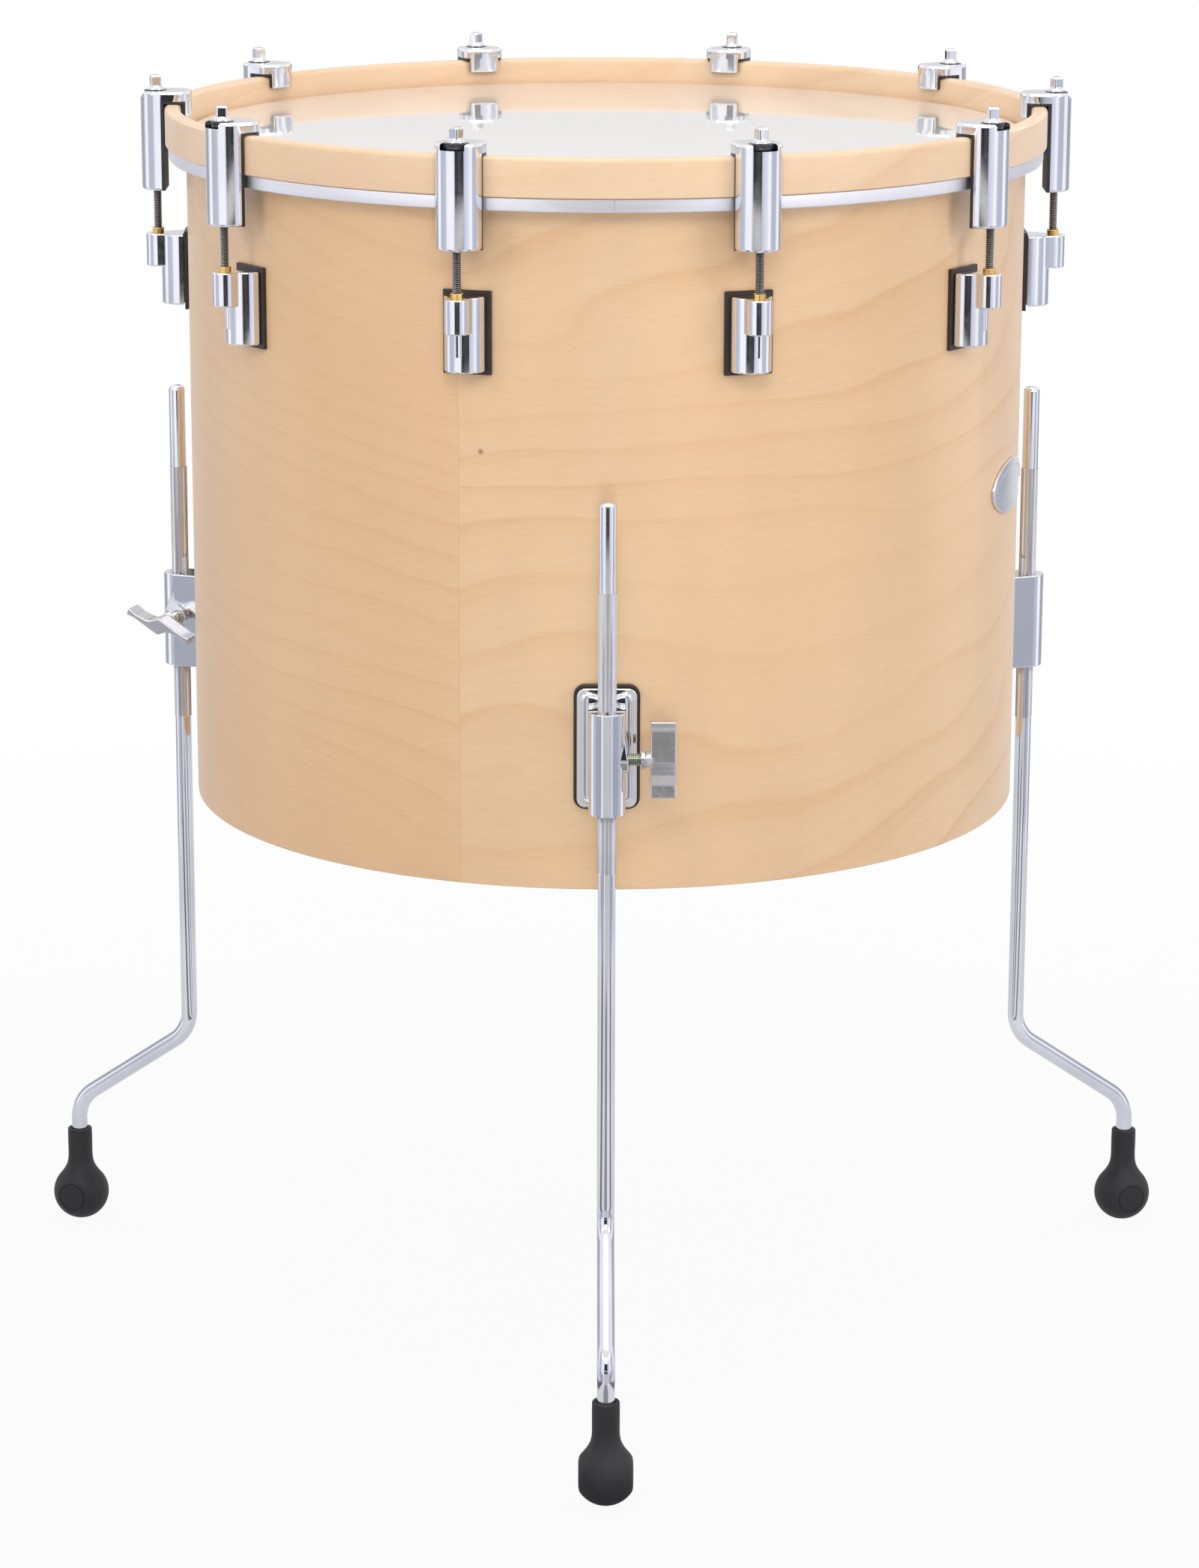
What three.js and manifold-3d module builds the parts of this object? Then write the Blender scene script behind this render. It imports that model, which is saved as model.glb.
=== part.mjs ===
// Floor tom: an open-bottomed maple drum with a hooped batter head, ten tension stations and three legs.
// Millimetres, +Z up. The floor is z = 0 and the front of the drum looks along -Y.
// Every station piece is drawn at the front of the drum, where a radius r is the depth y = -r,
// and a group then turns it round the drum's axis.
import * as THREE from 'three';
import { mergeVertices } from 'three/addons/utils/BufferGeometryUtils.js';
import Module from 'manifold-3d';

const wasm = await Module();
wasm.setup();

// Fits
const seatGap = 0.3;
const cutOverrun = 2;
const weldTolerance = 0.0001;

// Shell
const shellDiameter = 508;
const shellDepth = 406.4;
const shellWall = 6.5;
const shellLift = 332;
const bearingRound = 2.5;
const lowerEdgeChamfer = 0.8;

// Batter head and its aluminium flesh hoop
const filmThickness = 0.5;
const collarSlope = 4.9;
const fleshHoopClearance = 0.6;
const fleshHoopHeight = 7.7;
const fleshHoopSetback = 2;
const channelWall = 1;
const channelWidth = 1.1;
const channelFloor = 1.2;

// Wooden counter hoop
const woodHoopThickness = 9.5;
const woodHoopHeight = 22.5;
const woodHoopClearance = 3;
const woodHoopRise = 15.3;
const woodHoopEdgeRound = 2.7;

// Tension rods
const stationCount = 10;
const rodStandoff = 6.2;
const rodDiameter = 4.8;
const rodEngagement = 17.5;
const rodTipTaper = 0.6;
const keySquare = 6.35;
const keyHeight = 8.2;
const keyRound = 0.8;
const washerDiameter = 10.8;
const washerThickness = 0.8;
const collarDiameter = 13.8;
const collarTaper = 0.8;
const collarHeight = 3.3;

// Claws
const clawWidth = 27;
const clawHeight = 59.5;
const clawCapThickness = 7.2;
const clawColumnSetback = 4.3;
const clawEdgeRound = 1.2;
const clawNotchDepth = 3.4;
const clawNoseShoulder = 5;
const rodChannelClearance = 0.8;
const hookDrop = 15;
const hookWidth = 19;
const hookThickness = 5.5;

// Lugs and their gaskets
const lugDrop = 62.9;
const lugHeight = 42.7;
const lugWidth = 23.6;
const lugFlank = 2.4;
const lugEdgeRound = 0.8;
const lugPostWidth = 14.8;
const lugPostHeight = 19.9;
const insertDiameter = 6.8;
const insertHeight = 3.2;
const lugGasketThickness = 2.2;
const lugGasketMargin = 2.4;

// Leg brackets and their gaskets
const bracketAzimuth = 108;
const bracketHeight = 85.4;
const bracketPlateWidth = 34.4;
const bracketPlateHeight = 70;
const bracketPlateThickness = 2.6;
const bracketPlateCorner = 5;
const bracketEdgeRound = 0.9;
const bracketRimInset = 2.1;
const bracketRimWidth = 3.2;
const bracketRimHeight = 2.2;
const bracketHousingWidth = 21.2;
const bracketHousingHeight = 59.6;
const bracketHousingDrop = 1.8;
const bracketBossDiameter = 15;
const bracketBossStand = 1.6;
const bracketGasketThickness = 2.5;
const bracketGasketMargin = 1.7;

// Legs
const legStandoff = 27.9;
const legLength = 566;
const legDiameter = 10.2;
const legBendRadius = 25;
const legKneeReach = 80.5;
const legKneeDrop = 56;
const legAnkleHeight = 82;
const legEndRound = 3;
const knurlDiameter = 10.8;
const knurlTopInset = 52;
const upperKnurlLength = 73;
const knurlGap = 15;
const lowerKnurlLength = 75;
const legSideClearance = 0.2;

// Wing bolts
const boltDiameter = 7.5;
const boltReach = 13.4;
const boltFlangeDiameter = 11;
const boltFlangeThickness = 2.5;
const boltNeckDiameter = 8.6;
const boltNeckLength = 3;
const wingWidth = 14.5;
const wingEdgeRound = 0.7;
// How far each wing is turned round its bolt at rest
const wingTurns = { front: 0, right: 0, left: 67 };
// The upper half of the wing's S, seen along the bolt. The lower half is the same turned by half a turn.
const wingLobe = [
  [-5.2, -1.5],
  [-3.4, 9.1],
  [-1.9, 17.9],
  [-2.4, 22.3],
  [2.3, 22.4],
  [0.4, 15.3],
  [0.4, 7.1],
];

// Rubber feet
const footHeight = 62;
const footBallDiameter = 36.4;
const footBallCentre = 17.6;
const footFlatWidth = 31.5;
const footNeckDiameter = 15.8;
const footSocketDepth = 34;
const footRimRound = 0.8;
const footInsetDiameter = 18.4;
const footInsetDepth = 0.8;

// Badge
const badgeAzimuth = 73;
const badgeHeight = 203;
const badgeWidth = 74;
const badgeDepth = 32;
const badgeThickness = 1.5;

// Facets
const ringSides = 60;
const columnSteps = 4;
const rodSides = 8;
const boreSides = 8;
const legSides = 8;
const footSides = 12;
const footBallSteps = 5;
const bendSteps = 3;
const postSteps = 2;
const cornerSteps = 1;
const badgeSteps = 10;

// Radii from the drum's axis
const shellRadius = shellDiameter / 2;
const fleshHoopInner = shellRadius + fleshHoopClearance;
const channelInner = fleshHoopInner + channelWall;
const channelOuter = channelInner + channelWidth;
const woodHoopInner = shellRadius + woodHoopClearance;
const woodHoopOuter = woodHoopInner + woodHoopThickness;
const fleshHoopOuter = woodHoopOuter - fleshHoopSetback;
const rodCircle = woodHoopOuter + rodStandoff;
const clawBack = woodHoopOuter + seatGap;
const clawCentre = rodCircle - clawColumnSetback;
const hookBack = ringDepth(woodHoopInner, hookWidth / 2) - seatGap;
const hookNose = hookBack - hookThickness;
const lugGasketOuter = shellRadius + seatGap + lugGasketThickness;
const lugBack = lugGasketOuter + seatGap;
const bracketGasketOuter = shellRadius + seatGap + bracketGasketThickness;
const bracketBack = bracketGasketOuter + seatGap;
const legCircle = bracketBack + legStandoff;

// Heights above the shell's lower edge
const headTop = shellDepth + seatGap + filmThickness;
const woodHoopTop = headTop + woodHoopRise;
const woodHoopBottom = woodHoopTop - woodHoopHeight;
const fleshHoopTop = woodHoopBottom - seatGap;
const fleshHoopBottom = fleshHoopTop - fleshHoopHeight;
const clawCapBottom = woodHoopTop + seatGap;
const clawTop = clawCapBottom + clawCapThickness;
const clawBottom = clawTop - clawHeight;
const notchFloor = clawTop - clawNotchDepth;
const lugTop = shellDepth - lugDrop;
const lugBottom = lugTop - lugHeight;
const lugPostBottom = lugTop - lugPostHeight;

const finishes = {
  maple: { color: 0xecc8a0, roughness: 0.45, metalness: 0 },
  film: { color: 0xf1ece9, roughness: 0.15, metalness: 0 },
  aluminium: { color: 0xcfcacb, roughness: 0.3, metalness: 1 },
  chrome: { color: 0xd9dade, roughness: 0.08, metalness: 1 },
  zinc: { color: 0xc4c6c2, roughness: 0.3, metalness: 1 },
  rubber: { color: 0x3c3b3e, roughness: 0.6, metalness: 0 },
  gasket: { color: 0x241d1c, roughness: 0.5, metalness: 0 },
  nickel: { color: 0xd8d9dc, roughness: 0.2, metalness: 1 },
};

// How deep a faceted ring still reaches, a given distance to the side of one of its corners.
function ringDepth(radius, sideways) {
  return radius - sideways * Math.tan(Math.PI / ringSides);
}

// The corner radius of a faceted hole that a round piece of the given diameter passes with the given clearance.
function holeRadius(diameter, clearance, sides) {
  return (diameter / 2 + clearance) / Math.cos(Math.PI / sides);
}

// Shapes

function polygon(points) {
  return new THREE.Shape(points.map(([x, y]) => new THREE.Vector2(x, y)));
}

function rectangle(width, height, corner) {
  const x = width / 2;
  const y = height / 2;
  const shape = new THREE.Shape();
  shape.absarc(x - corner, -y + corner, corner, -Math.PI / 2, 0, false);
  shape.absarc(x - corner, y - corner, corner, 0, Math.PI / 2, false);
  shape.absarc(-x + corner, y - corner, corner, Math.PI / 2, Math.PI, false);
  shape.absarc(-x + corner, -y + corner, corner, Math.PI, Math.PI * 1.5, false);
  return shape;
}

// A plan with a flat back and a half-round front that bulges away from the drum's axis.
function columnPlan(width, back, centre) {
  const shape = new THREE.Shape();
  shape.moveTo(width / 2, -back);
  shape.lineTo(-width / 2, -back);
  shape.absarc(0, -centre, width / 2, Math.PI, 2 * Math.PI, false);
  return shape;
}

// A plan with a half-round front and a flatter round nose that bulges towards the drum's axis.
function clawPlan(width, centre, shoulder, nose) {
  const shape = new THREE.Shape();
  shape.absarc(0, -centre, width / 2, Math.PI, 2 * Math.PI, false);
  shape.absellipse(0, -shoulder, width / 2, shoulder - nose, 0, Math.PI, false);
  return shape;
}

// A half-round hook with its flat side outwards.
function hookPlan(width, back, nose) {
  const shape = new THREE.Shape();
  shape.absellipse(0, -back, width / 2, back - nose, 0, Math.PI, false);
  return shape;
}

// A column plan with a narrower half-round post standing out of its front.
function postedPlan(width, back, centre, postWidth, postCentre) {
  const round = width / 2;
  const post = postWidth / 2;
  const meeting = Math.acos(post / round);
  const shape = new THREE.Shape();
  shape.moveTo(round, -back);
  shape.lineTo(-round, -back);
  shape.absarc(0, -centre, round, Math.PI, Math.PI + meeting, false);
  shape.absarc(0, -postCentre, post, Math.PI, 2 * Math.PI, false);
  shape.absarc(0, -centre, round, 2 * Math.PI - meeting, 2 * Math.PI, false);
  return shape;
}

// Solids

// A profile of [radius, height] points turned round the Z axis. It runs from axis to axis or closes on itself.
function revolve(profile, sides) {
  const points = profile.map(([radius, height]) => new THREE.Vector2(radius, height));
  const area = THREE.ShapeUtils.area(points);
  if (area < 0) points.reverse();
  const onAxis = points[0].x === 0;
  if (!onAxis) points.push(points[0].clone());
  return new THREE.LatheGeometry(points, sides).rotateX(Math.PI / 2);
}

// A plan in X and Y raised from one height to another, with rounded upper and lower edges.
function raise(shape, bottom, top, edge = 0, curveSegments = columnSteps) {
  const options = {
    depth: top - bottom - 2 * edge,
    curveSegments,
    bevelEnabled: edge > 0,
    bevelThickness: edge,
    bevelSize: edge,
    bevelOffset: -edge,
    bevelSegments: 1,
  };
  return new THREE.ExtrudeGeometry(shape, options).translate(0, 0, bottom + edge);
}

// An outline in X and Z raised outwards from one depth to another on the front of the drum.
function standProud(shape, inner, outer, edge = 0, curveSegments = cornerSteps) {
  const options = {
    depth: outer - inner - edge,
    curveSegments,
    bevelEnabled: edge > 0,
    bevelThickness: edge,
    bevelSize: edge,
    bevelOffset: -edge,
    bevelSegments: 1,
  };
  const geometry = new THREE.ExtrudeGeometry(shape, options).rotateX(Math.PI / 2);
  return geometry.translate(0, -inner, 0);
}

function rod(radius, bottom, top, depth, sides) {
  const geometry = new THREE.CylinderGeometry(radius, radius, top - bottom, sides).rotateX(Math.PI / 2);
  return geometry.translate(0, -depth, (bottom + top) / 2);
}

// A round bar along X, from one distance to another.
function crossRod(radius, near, far, depth, height, sides) {
  const geometry = new THREE.CylinderGeometry(radius, radius, far - near, sides).rotateZ(Math.PI / 2);
  return geometry.translate((near + far) / 2, -depth, height);
}

// A box given by its width, its inner and outer depth and its lower and upper height.
function block(width, inner, outer, bottom, top) {
  const geometry = new THREE.BoxGeometry(width, outer - inner, top - bottom);
  return geometry.translate(0, -(inner + outer) / 2, (bottom + top) / 2);
}

// A round bar along a bent path in the plane x = 0. Each ring has its centre, its facing and its radius.
function bentBar(rings, sides) {
  const corners = [];
  const faces = [];
  for (const ring of rings) {
    for (let i = 0; i < sides; i++) {
      const angle = (i / sides) * 2 * Math.PI;
      const side = new THREE.Vector3(Math.cos(angle) * ring.radius, Math.sin(angle) * ring.radius, 0);
      side.applyAxisAngle(new THREE.Vector3(1, 0, 0), ring.tilt).add(ring.centre);
      corners.push(side.x, side.y, side.z);
    }
  }
  const last = rings.length - 1;
  for (let ring = 0; ring < last; ring++) {
    for (let i = 0; i < sides; i++) {
      const a = ring * sides + i;
      const b = ring * sides + ((i + 1) % sides);
      faces.push(a, b, a + sides, b, b + sides, a + sides);
    }
  }
  for (let i = 1; i < sides - 1; i++) {
    faces.push(0, i + 1, i);
    faces.push(last * sides, last * sides + i, last * sides + i + 1);
  }
  const geometry = new THREE.BufferGeometry();
  geometry.setAttribute('position', new THREE.Float32BufferAttribute(corners, 3));
  geometry.setIndex(faces);
  return geometry;
}

function solid(geometry) {
  const bare = geometry.clone();
  bare.deleteAttribute('normal');
  bare.deleteAttribute('uv');
  const welded = mergeVertices(bare, weldTolerance);
  const mesh = new wasm.Mesh({
    numProp: 3,
    vertProperties: welded.attributes.position.array,
    triVerts: new Uint32Array(welded.index.array),
  });
  return new wasm.Manifold(mesh);
}

function join(...geometries) {
  return geometries.map(solid).reduce((whole, next) => whole.add(next));
}

function cut(body, ...geometries) {
  return geometries.map(solid).reduce((whole, next) => whole.subtract(next), body);
}

function geometryOf(body) {
  const mesh = body.getMesh();
  const geometry = new THREE.BufferGeometry();
  geometry.setAttribute('position', new THREE.Float32BufferAttribute(mesh.vertProperties, 3));
  geometry.setIndex(new THREE.Uint32BufferAttribute(mesh.triVerts, 1));
  geometry.computeVertexNormals();
  return geometry;
}

// A sheet that wraps the shell: the outline in X and Z, cut from a ring of the sheet's thickness.
function wrapped(shape, thickness, height, curveSegments = cornerSteps) {
  const inner = shellRadius + seatGap;
  const outer = inner + thickness;
  const reach = badgeWidth + bracketPlateHeight;
  const ring = revolve([[inner, -reach], [outer, -reach], [outer, reach], [inner, reach]], ringSides);
  const stamp = standProud(shape, inner - shellWall, outer + cutOverrun, 0, curveSegments);
  return geometryOf(solid(ring).intersect(solid(stamp))).translate(0, 0, height);
}

// Rings

function makeShell() {
  const inner = shellRadius - shellWall;
  const crown = shellRadius - bearingRound;
  const roundHalf = bearingRound * Math.SQRT1_2;
  return revolve([
    [inner, lowerEdgeChamfer],
    [inner + lowerEdgeChamfer, 0],
    [shellRadius - lowerEdgeChamfer, 0],
    [shellRadius, lowerEdgeChamfer],
    [shellRadius, shellDepth - bearingRound],
    [crown + roundHalf, shellDepth - bearingRound + roundHalf],
    [crown, shellDepth],
    [inner, shellDepth - (crown - inner)],
  ], ringSides);
}

// The film lies flat, turns down over the bearing edge and ends in the flesh hoop's channel.
function makeBatterHead() {
  const crown = shellRadius - bearingRound;
  const turn = shellDepth - bearingRound;
  const inner = bearingRound + seatGap;
  const outer = inner + filmThickness;
  const skirtInner = channelInner + (channelWidth - filmThickness) / 2;
  const skirtOuter = skirtInner + filmThickness;
  const hem = fleshHoopBottom + channelFloor + seatGap;
  return revolve([
    [0, headTop - filmThickness],
    [crown, headTop - filmThickness],
    [crown + inner * Math.SQRT1_2, turn + inner * Math.SQRT1_2],
    [skirtInner, turn - collarSlope],
    [skirtInner, hem],
    [skirtOuter, hem],
    [skirtOuter, turn - collarSlope],
    [crown + outer * Math.SQRT1_2, turn + outer * Math.SQRT1_2],
    [crown, headTop],
    [0, headTop],
  ], ringSides);
}

function makeFleshHoop() {
  const floor = fleshHoopBottom + channelFloor;
  return revolve([
    [fleshHoopInner, fleshHoopBottom],
    [fleshHoopOuter, fleshHoopBottom],
    [fleshHoopOuter, fleshHoopTop],
    [channelOuter, fleshHoopTop],
    [channelOuter, floor],
    [channelInner, floor],
    [channelInner, fleshHoopTop],
    [fleshHoopInner, fleshHoopTop],
  ], ringSides);
}

function makeWoodHoop() {
  const shoulder = woodHoopTop - woodHoopEdgeRound;
  const roundHalf = woodHoopEdgeRound * (1 - Math.SQRT1_2);
  return revolve([
    [woodHoopInner, woodHoopBottom],
    [woodHoopOuter, woodHoopBottom],
    [woodHoopOuter, shoulder],
    [woodHoopOuter - roundHalf, woodHoopTop - roundHalf],
    [woodHoopOuter - woodHoopEdgeRound, woodHoopTop],
    [woodHoopInner + woodHoopEdgeRound, woodHoopTop],
    [woodHoopInner + roundHalf, woodHoopTop - roundHalf],
    [woodHoopInner, shoulder],
  ], ringSides);
}

// Tension stations

// A half-round column outside the hoop, a cap over it and a hook behind it. The rod's collar sits in a notch.
function makeClaw() {
  const front = clawCentre + clawWidth / 2 + cutOverrun;
  const above = clawTop + cutOverrun;
  const channel = holeRadius(rodDiameter, rodChannelClearance, boreSides);
  const notch = holeRadius(collarDiameter, seatGap, boreSides);
  const mouth = collarDiameter + 2 * seatGap;
  const hookBottom = clawTop - hookDrop;
  const overlap = clawCapThickness / 2;
  const capPlan = clawPlan(clawWidth, clawCentre, hookBack + clawNoseShoulder, hookNose);
  const body = join(
    raise(columnPlan(clawWidth, clawBack, clawCentre), clawBottom, clawCapBottom + overlap, clawEdgeRound),
    raise(capPlan, clawCapBottom, clawTop, clawEdgeRound),
    raise(hookPlan(hookWidth, hookBack, hookNose), hookBottom, clawCapBottom + overlap),
  );
  return geometryOf(cut(
    body,
    rod(channel, clawBottom - cutOverrun, above, rodCircle, boreSides),
    block(mouth, rodCircle, front, notchFloor, above),
    rod(notch, notchFloor, above, rodCircle, boreSides),
  ));
}

// The threaded rod with its square key head, steel washer and nylon collar, drawn on the Z axis.
function makeTensionRod() {
  const radius = rodDiameter / 2;
  const tip = lugTop - rodEngagement;
  const collarBottom = notchFloor + seatGap;
  const collarTop = collarBottom + collarHeight;
  const washerTop = collarTop + washerThickness;
  const keyTop = washerTop + keyHeight;
  const shaft = revolve([
    [0, tip],
    [radius - rodTipTaper, tip],
    [radius, tip + rodTipTaper],
    [radius, collarBottom],
    [collarDiameter / 2 - collarTaper, collarBottom],
    [collarDiameter / 2, collarTop],
    [washerDiameter / 2, collarTop],
    [washerDiameter / 2, washerTop],
    [0, washerTop],
  ], rodSides);
  const half = keySquare / 2;
  const square = polygon([[-half, -half], [half, -half], [half, half], [-half, half]]);
  const key = raise(square, collarTop, keyTop, keyRound);
  return geometryOf(join(shaft, key));
}

// A half-round body with a post that holds the rod and a brass insert on top.
function makeLug() {
  const centre = lugBack + lugFlank;
  const bore = holeRadius(rodDiameter, seatGap, rodSides);
  const insertTop = lugTop + insertHeight;
  const upperPlan = postedPlan(lugWidth, lugBack, centre, lugPostWidth, rodCircle);
  const body = join(
    raise(columnPlan(lugWidth, lugBack, centre), lugBottom, lugPostBottom + lugEdgeRound),
    raise(upperPlan, lugPostBottom, lugTop, lugEdgeRound, postSteps),
    rod(insertDiameter / 2, lugTop - lugEdgeRound, insertTop, rodCircle, boreSides),
  );
  return geometryOf(cut(
    body,
    rod(bore, lugPostBottom - cutOverrun, insertTop + cutOverrun, rodCircle, rodSides),
  ));
}

function makeLugGasket() {
  const x = lugWidth / 2 + lugGasketMargin;
  const z = lugHeight / 2 + lugGasketMargin;
  const outline = polygon([[-x, -z], [x, -z], [x, z], [-x, z]]);
  return wrapped(outline, lugGasketThickness, (lugTop + lugBottom) / 2);
}

// Leg mounts

const housingCentre = bracketHeight - bracketHousingDrop;
const housingTop = housingCentre + bracketHousingHeight / 2;
const housingBottom = housingCentre - bracketHousingHeight / 2;
const bossFace = bracketHousingWidth / 2 + bracketBossStand;

// A rimmed base plate and a half-round housing with a bore for the leg and a threaded boss on its right.
function makeLegBracket() {
  const plateFace = bracketBack + bracketPlateThickness;
  const rimFace = plateFace + bracketRimHeight;
  const rimCorner = bracketPlateCorner - bracketRimInset;
  const rimWidth = bracketPlateWidth - 2 * bracketRimInset;
  const rimHeight = bracketPlateHeight - 2 * bracketRimInset;
  const wellWidth = rimWidth - 2 * bracketRimWidth;
  const wellHeight = rimHeight - 2 * bracketRimWidth;
  const plate = rectangle(bracketPlateWidth, bracketPlateHeight, bracketPlateCorner);
  const rim = rectangle(rimWidth, rimHeight, rimCorner);
  const well = rectangle(wellWidth, wellHeight, rimCorner / 2);
  const tray = cut(
    join(
      standProud(plate, bracketBack, plateFace),
      standProud(rim, plateFace - bracketEdgeRound, rimFace, bracketEdgeRound),
    ),
    standProud(well, plateFace, rimFace + cutOverrun),
  ).translate(0, 0, bracketHeight);
  const housing = join(
    raise(columnPlan(bracketHousingWidth, bracketBack, legCircle), housingBottom, housingTop),
    crossRod(bracketBossDiameter / 2, 0, bossFace, legCircle, bracketHeight, boreSides),
  );
  return geometryOf(cut(
    tray.add(housing),
    rod(holeRadius(knurlDiameter, legSideClearance, legSides), housingBottom - cutOverrun,
      housingTop + cutOverrun, legCircle, legSides),
    crossRod(holeRadius(boltDiameter, seatGap, boreSides), 0, bossFace + cutOverrun, legCircle,
      bracketHeight, boreSides),
  ));
}

function makeBracketGasket() {
  const width = bracketPlateWidth + 2 * bracketGasketMargin;
  const height = bracketPlateHeight + 2 * bracketGasketMargin;
  const corner = bracketPlateCorner + bracketGasketMargin;
  return wrapped(rectangle(width, height, corner), bracketGasketThickness, bracketHeight);
}

// The clamp bolt, drawn along X from the leg outwards, with a flange, a neck and an S-shaped wing.
function makeWingBolt() {
  const tip = knurlDiameter / 2 + seatGap;
  const flange = tip + boltReach;
  const neck = flange + boltFlangeThickness;
  const wing = neck + boltNeckLength;
  const outline = polygon([...wingLobe, ...wingLobe.map(([across, along]) => [-across, -along])]);
  const blade = raise(outline, wing, wing + wingWidth, wingEdgeRound)
    .rotateX(Math.PI / 2)
    .rotateZ(Math.PI / 2);
  return geometryOf(join(
    crossRod(boltDiameter / 2, tip, flange + boltFlangeThickness / 2, 0, 0, boreSides),
    crossRod(boltFlangeDiameter / 2, flange, neck, 0, 0, boreSides),
    crossRod(boltNeckDiameter / 2, neck - boltFlangeThickness / 2, wing + wingWidth / 2, 0, 0, boreSides),
    blade,
  ));
}

// Legs

// The leg stands on the floor: a foot end, an ankle bend, a slant, a knee bend and a long upper stretch
// with two knurled lengths.
function makeLeg() {
  const plain = legDiameter / 2;
  const grip = knurlDiameter / 2;
  const slant = Math.atan2(legKneeReach, legKneeDrop);
  const tangent = legBendRadius * Math.tan(slant / 2);
  const knee = legAnkleHeight + legKneeDrop;
  const knurlTop = legLength - knurlTopInset;
  const gapTop = knurlTop - upperKnurlLength;
  const gapBottom = gapTop - knurlGap;
  const knurlBottom = gapBottom - lowerKnurlLength;
  const step = grip - plain;
  const ring = (y, z, radius, tilt = 0) => ({ centre: new THREE.Vector3(0, y, z), radius, tilt });
  const rings = [ring(-legKneeReach, footHeight - footSocketDepth + seatGap, plain)];
  const bend = (y, z, turn, from, to) => {
    for (let i = 0; i <= bendSteps; i++) {
      const angle = from + (to - from) * (i / bendSteps);
      const out = turn * legBendRadius;
      rings.push(ring(y + out * Math.cos(angle), z + out * Math.sin(angle), plain, angle));
    }
  };
  bend(-legKneeReach + legBendRadius, legAnkleHeight - tangent, -1, 0, -slant);
  bend(-legBendRadius, knee + tangent, 1, -slant, 0);
  rings.push(
    ring(0, knurlBottom - step, plain),
    ring(0, knurlBottom, grip),
    ring(0, gapBottom, grip),
    ring(0, gapBottom + step, plain),
    ring(0, gapTop - step, plain),
    ring(0, gapTop, grip),
    ring(0, knurlTop, grip),
    ring(0, knurlTop + step, plain),
    ring(0, legLength - legEndRound, plain),
    ring(0, legLength - legEndRound * (1 - Math.SQRT1_2), plain - legEndRound * (1 - Math.SQRT1_2)),
    ring(0, legLength, plain - legEndRound),
  );
  return bentBar(rings, legSides);
}

// A ball with a tapered neck, flattened on two sides with a round inset in each flat.
function makeFoot() {
  const ball = footBallDiameter / 2;
  const neck = footNeckDiameter / 2;
  const socket = holeRadius(legDiameter, seatGap, legSides);
  const socketFloor = footHeight - footSocketDepth;
  const lowest = Math.asin(footBallCentre / ball);
  const highest = Math.PI / 5;
  const profile = [[0, 0]];
  for (let i = 0; i <= footBallSteps; i++) {
    const angle = -lowest + (highest + lowest) * (i / footBallSteps);
    profile.push([ball * Math.cos(angle), footBallCentre + ball * Math.sin(angle)]);
  }
  const [throat, throatHeight] = profile[profile.length - 1];
  const neckShares = [
    [0.18, 0.47],
    [0.5, 0.75],
  ];
  for (const [rise, inward] of neckShares) {
    profile.push([throat + (neck - throat) * inward, throatHeight + (footHeight - throatHeight) * rise]);
  }
  profile.push(
    [neck, footHeight - footRimRound],
    [neck - footRimRound, footHeight],
    [socket, footHeight],
    [socket, socketFloor],
    [0, socketFloor],
  );
  const flat = footFlatWidth / 2;
  const insetInner = flat - footInsetDepth;
  const inset = footInsetDiameter / 2;
  const waist = new THREE.BoxGeometry(footFlatWidth, 2 * footBallDiameter, 2 * footHeight);
  return geometryOf(cut(
    solid(revolve(profile, footSides)).intersect(solid(waist)),
    crossRod(inset, insetInner, flat + cutOverrun, 0, footBallCentre, boreSides),
    crossRod(inset, -flat - cutOverrun, -insetInner, 0, footBallCentre, boreSides),
  ));
}

function makeBadge() {
  const oval = new THREE.Shape();
  oval.absellipse(0, 0, badgeWidth / 2, badgeDepth / 2, 0, 2 * Math.PI, false);
  return wrapped(oval, badgeThickness, badgeHeight, badgeSteps);
}

// Assembly

const floorTom = new THREE.Group();

function place(name, geometry, finish, { azimuth = 0, radius = 0, height = 0, turn = 0 } = {}) {
  const station = new THREE.Group();
  station.rotation.z = THREE.MathUtils.degToRad(azimuth);
  const mesh = new THREE.Mesh(geometry, new THREE.MeshStandardMaterial(finishes[finish]));
  mesh.name = name;
  mesh.position.set(0, -radius, height);
  mesh.rotation.x = THREE.MathUtils.degToRad(turn);
  station.add(mesh);
  floorTom.add(station);
}

place('shell', makeShell(), 'maple', { height: shellLift });
place('batter_head', makeBatterHead(), 'film', { height: shellLift });
place('flesh_hoop', makeFleshHoop(), 'aluminium', { height: shellLift });
place('wood_hoop', makeWoodHoop(), 'maple', { height: shellLift });
place('badge', makeBadge(), 'nickel', { azimuth: badgeAzimuth, height: shellLift });

const claw = makeClaw();
const tensionRod = makeTensionRod();
const lug = makeLug();
const lugGasket = makeLugGasket();
for (let i = 0; i < stationCount; i++) {
  const azimuth = (i + 0.5) * (360 / stationCount);
  const number = String(i + 1).padStart(2, '0');
  place(`claw_${number}`, claw, 'chrome', { azimuth, height: shellLift });
  place(`tension_rod_${number}`, tensionRod, 'nickel', { azimuth, radius: rodCircle, height: shellLift });
  place(`lug_${number}`, lug, 'chrome', { azimuth, height: shellLift });
  place(`lug_gasket_${number}`, lugGasket, 'gasket', { azimuth, height: shellLift });
}

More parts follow.
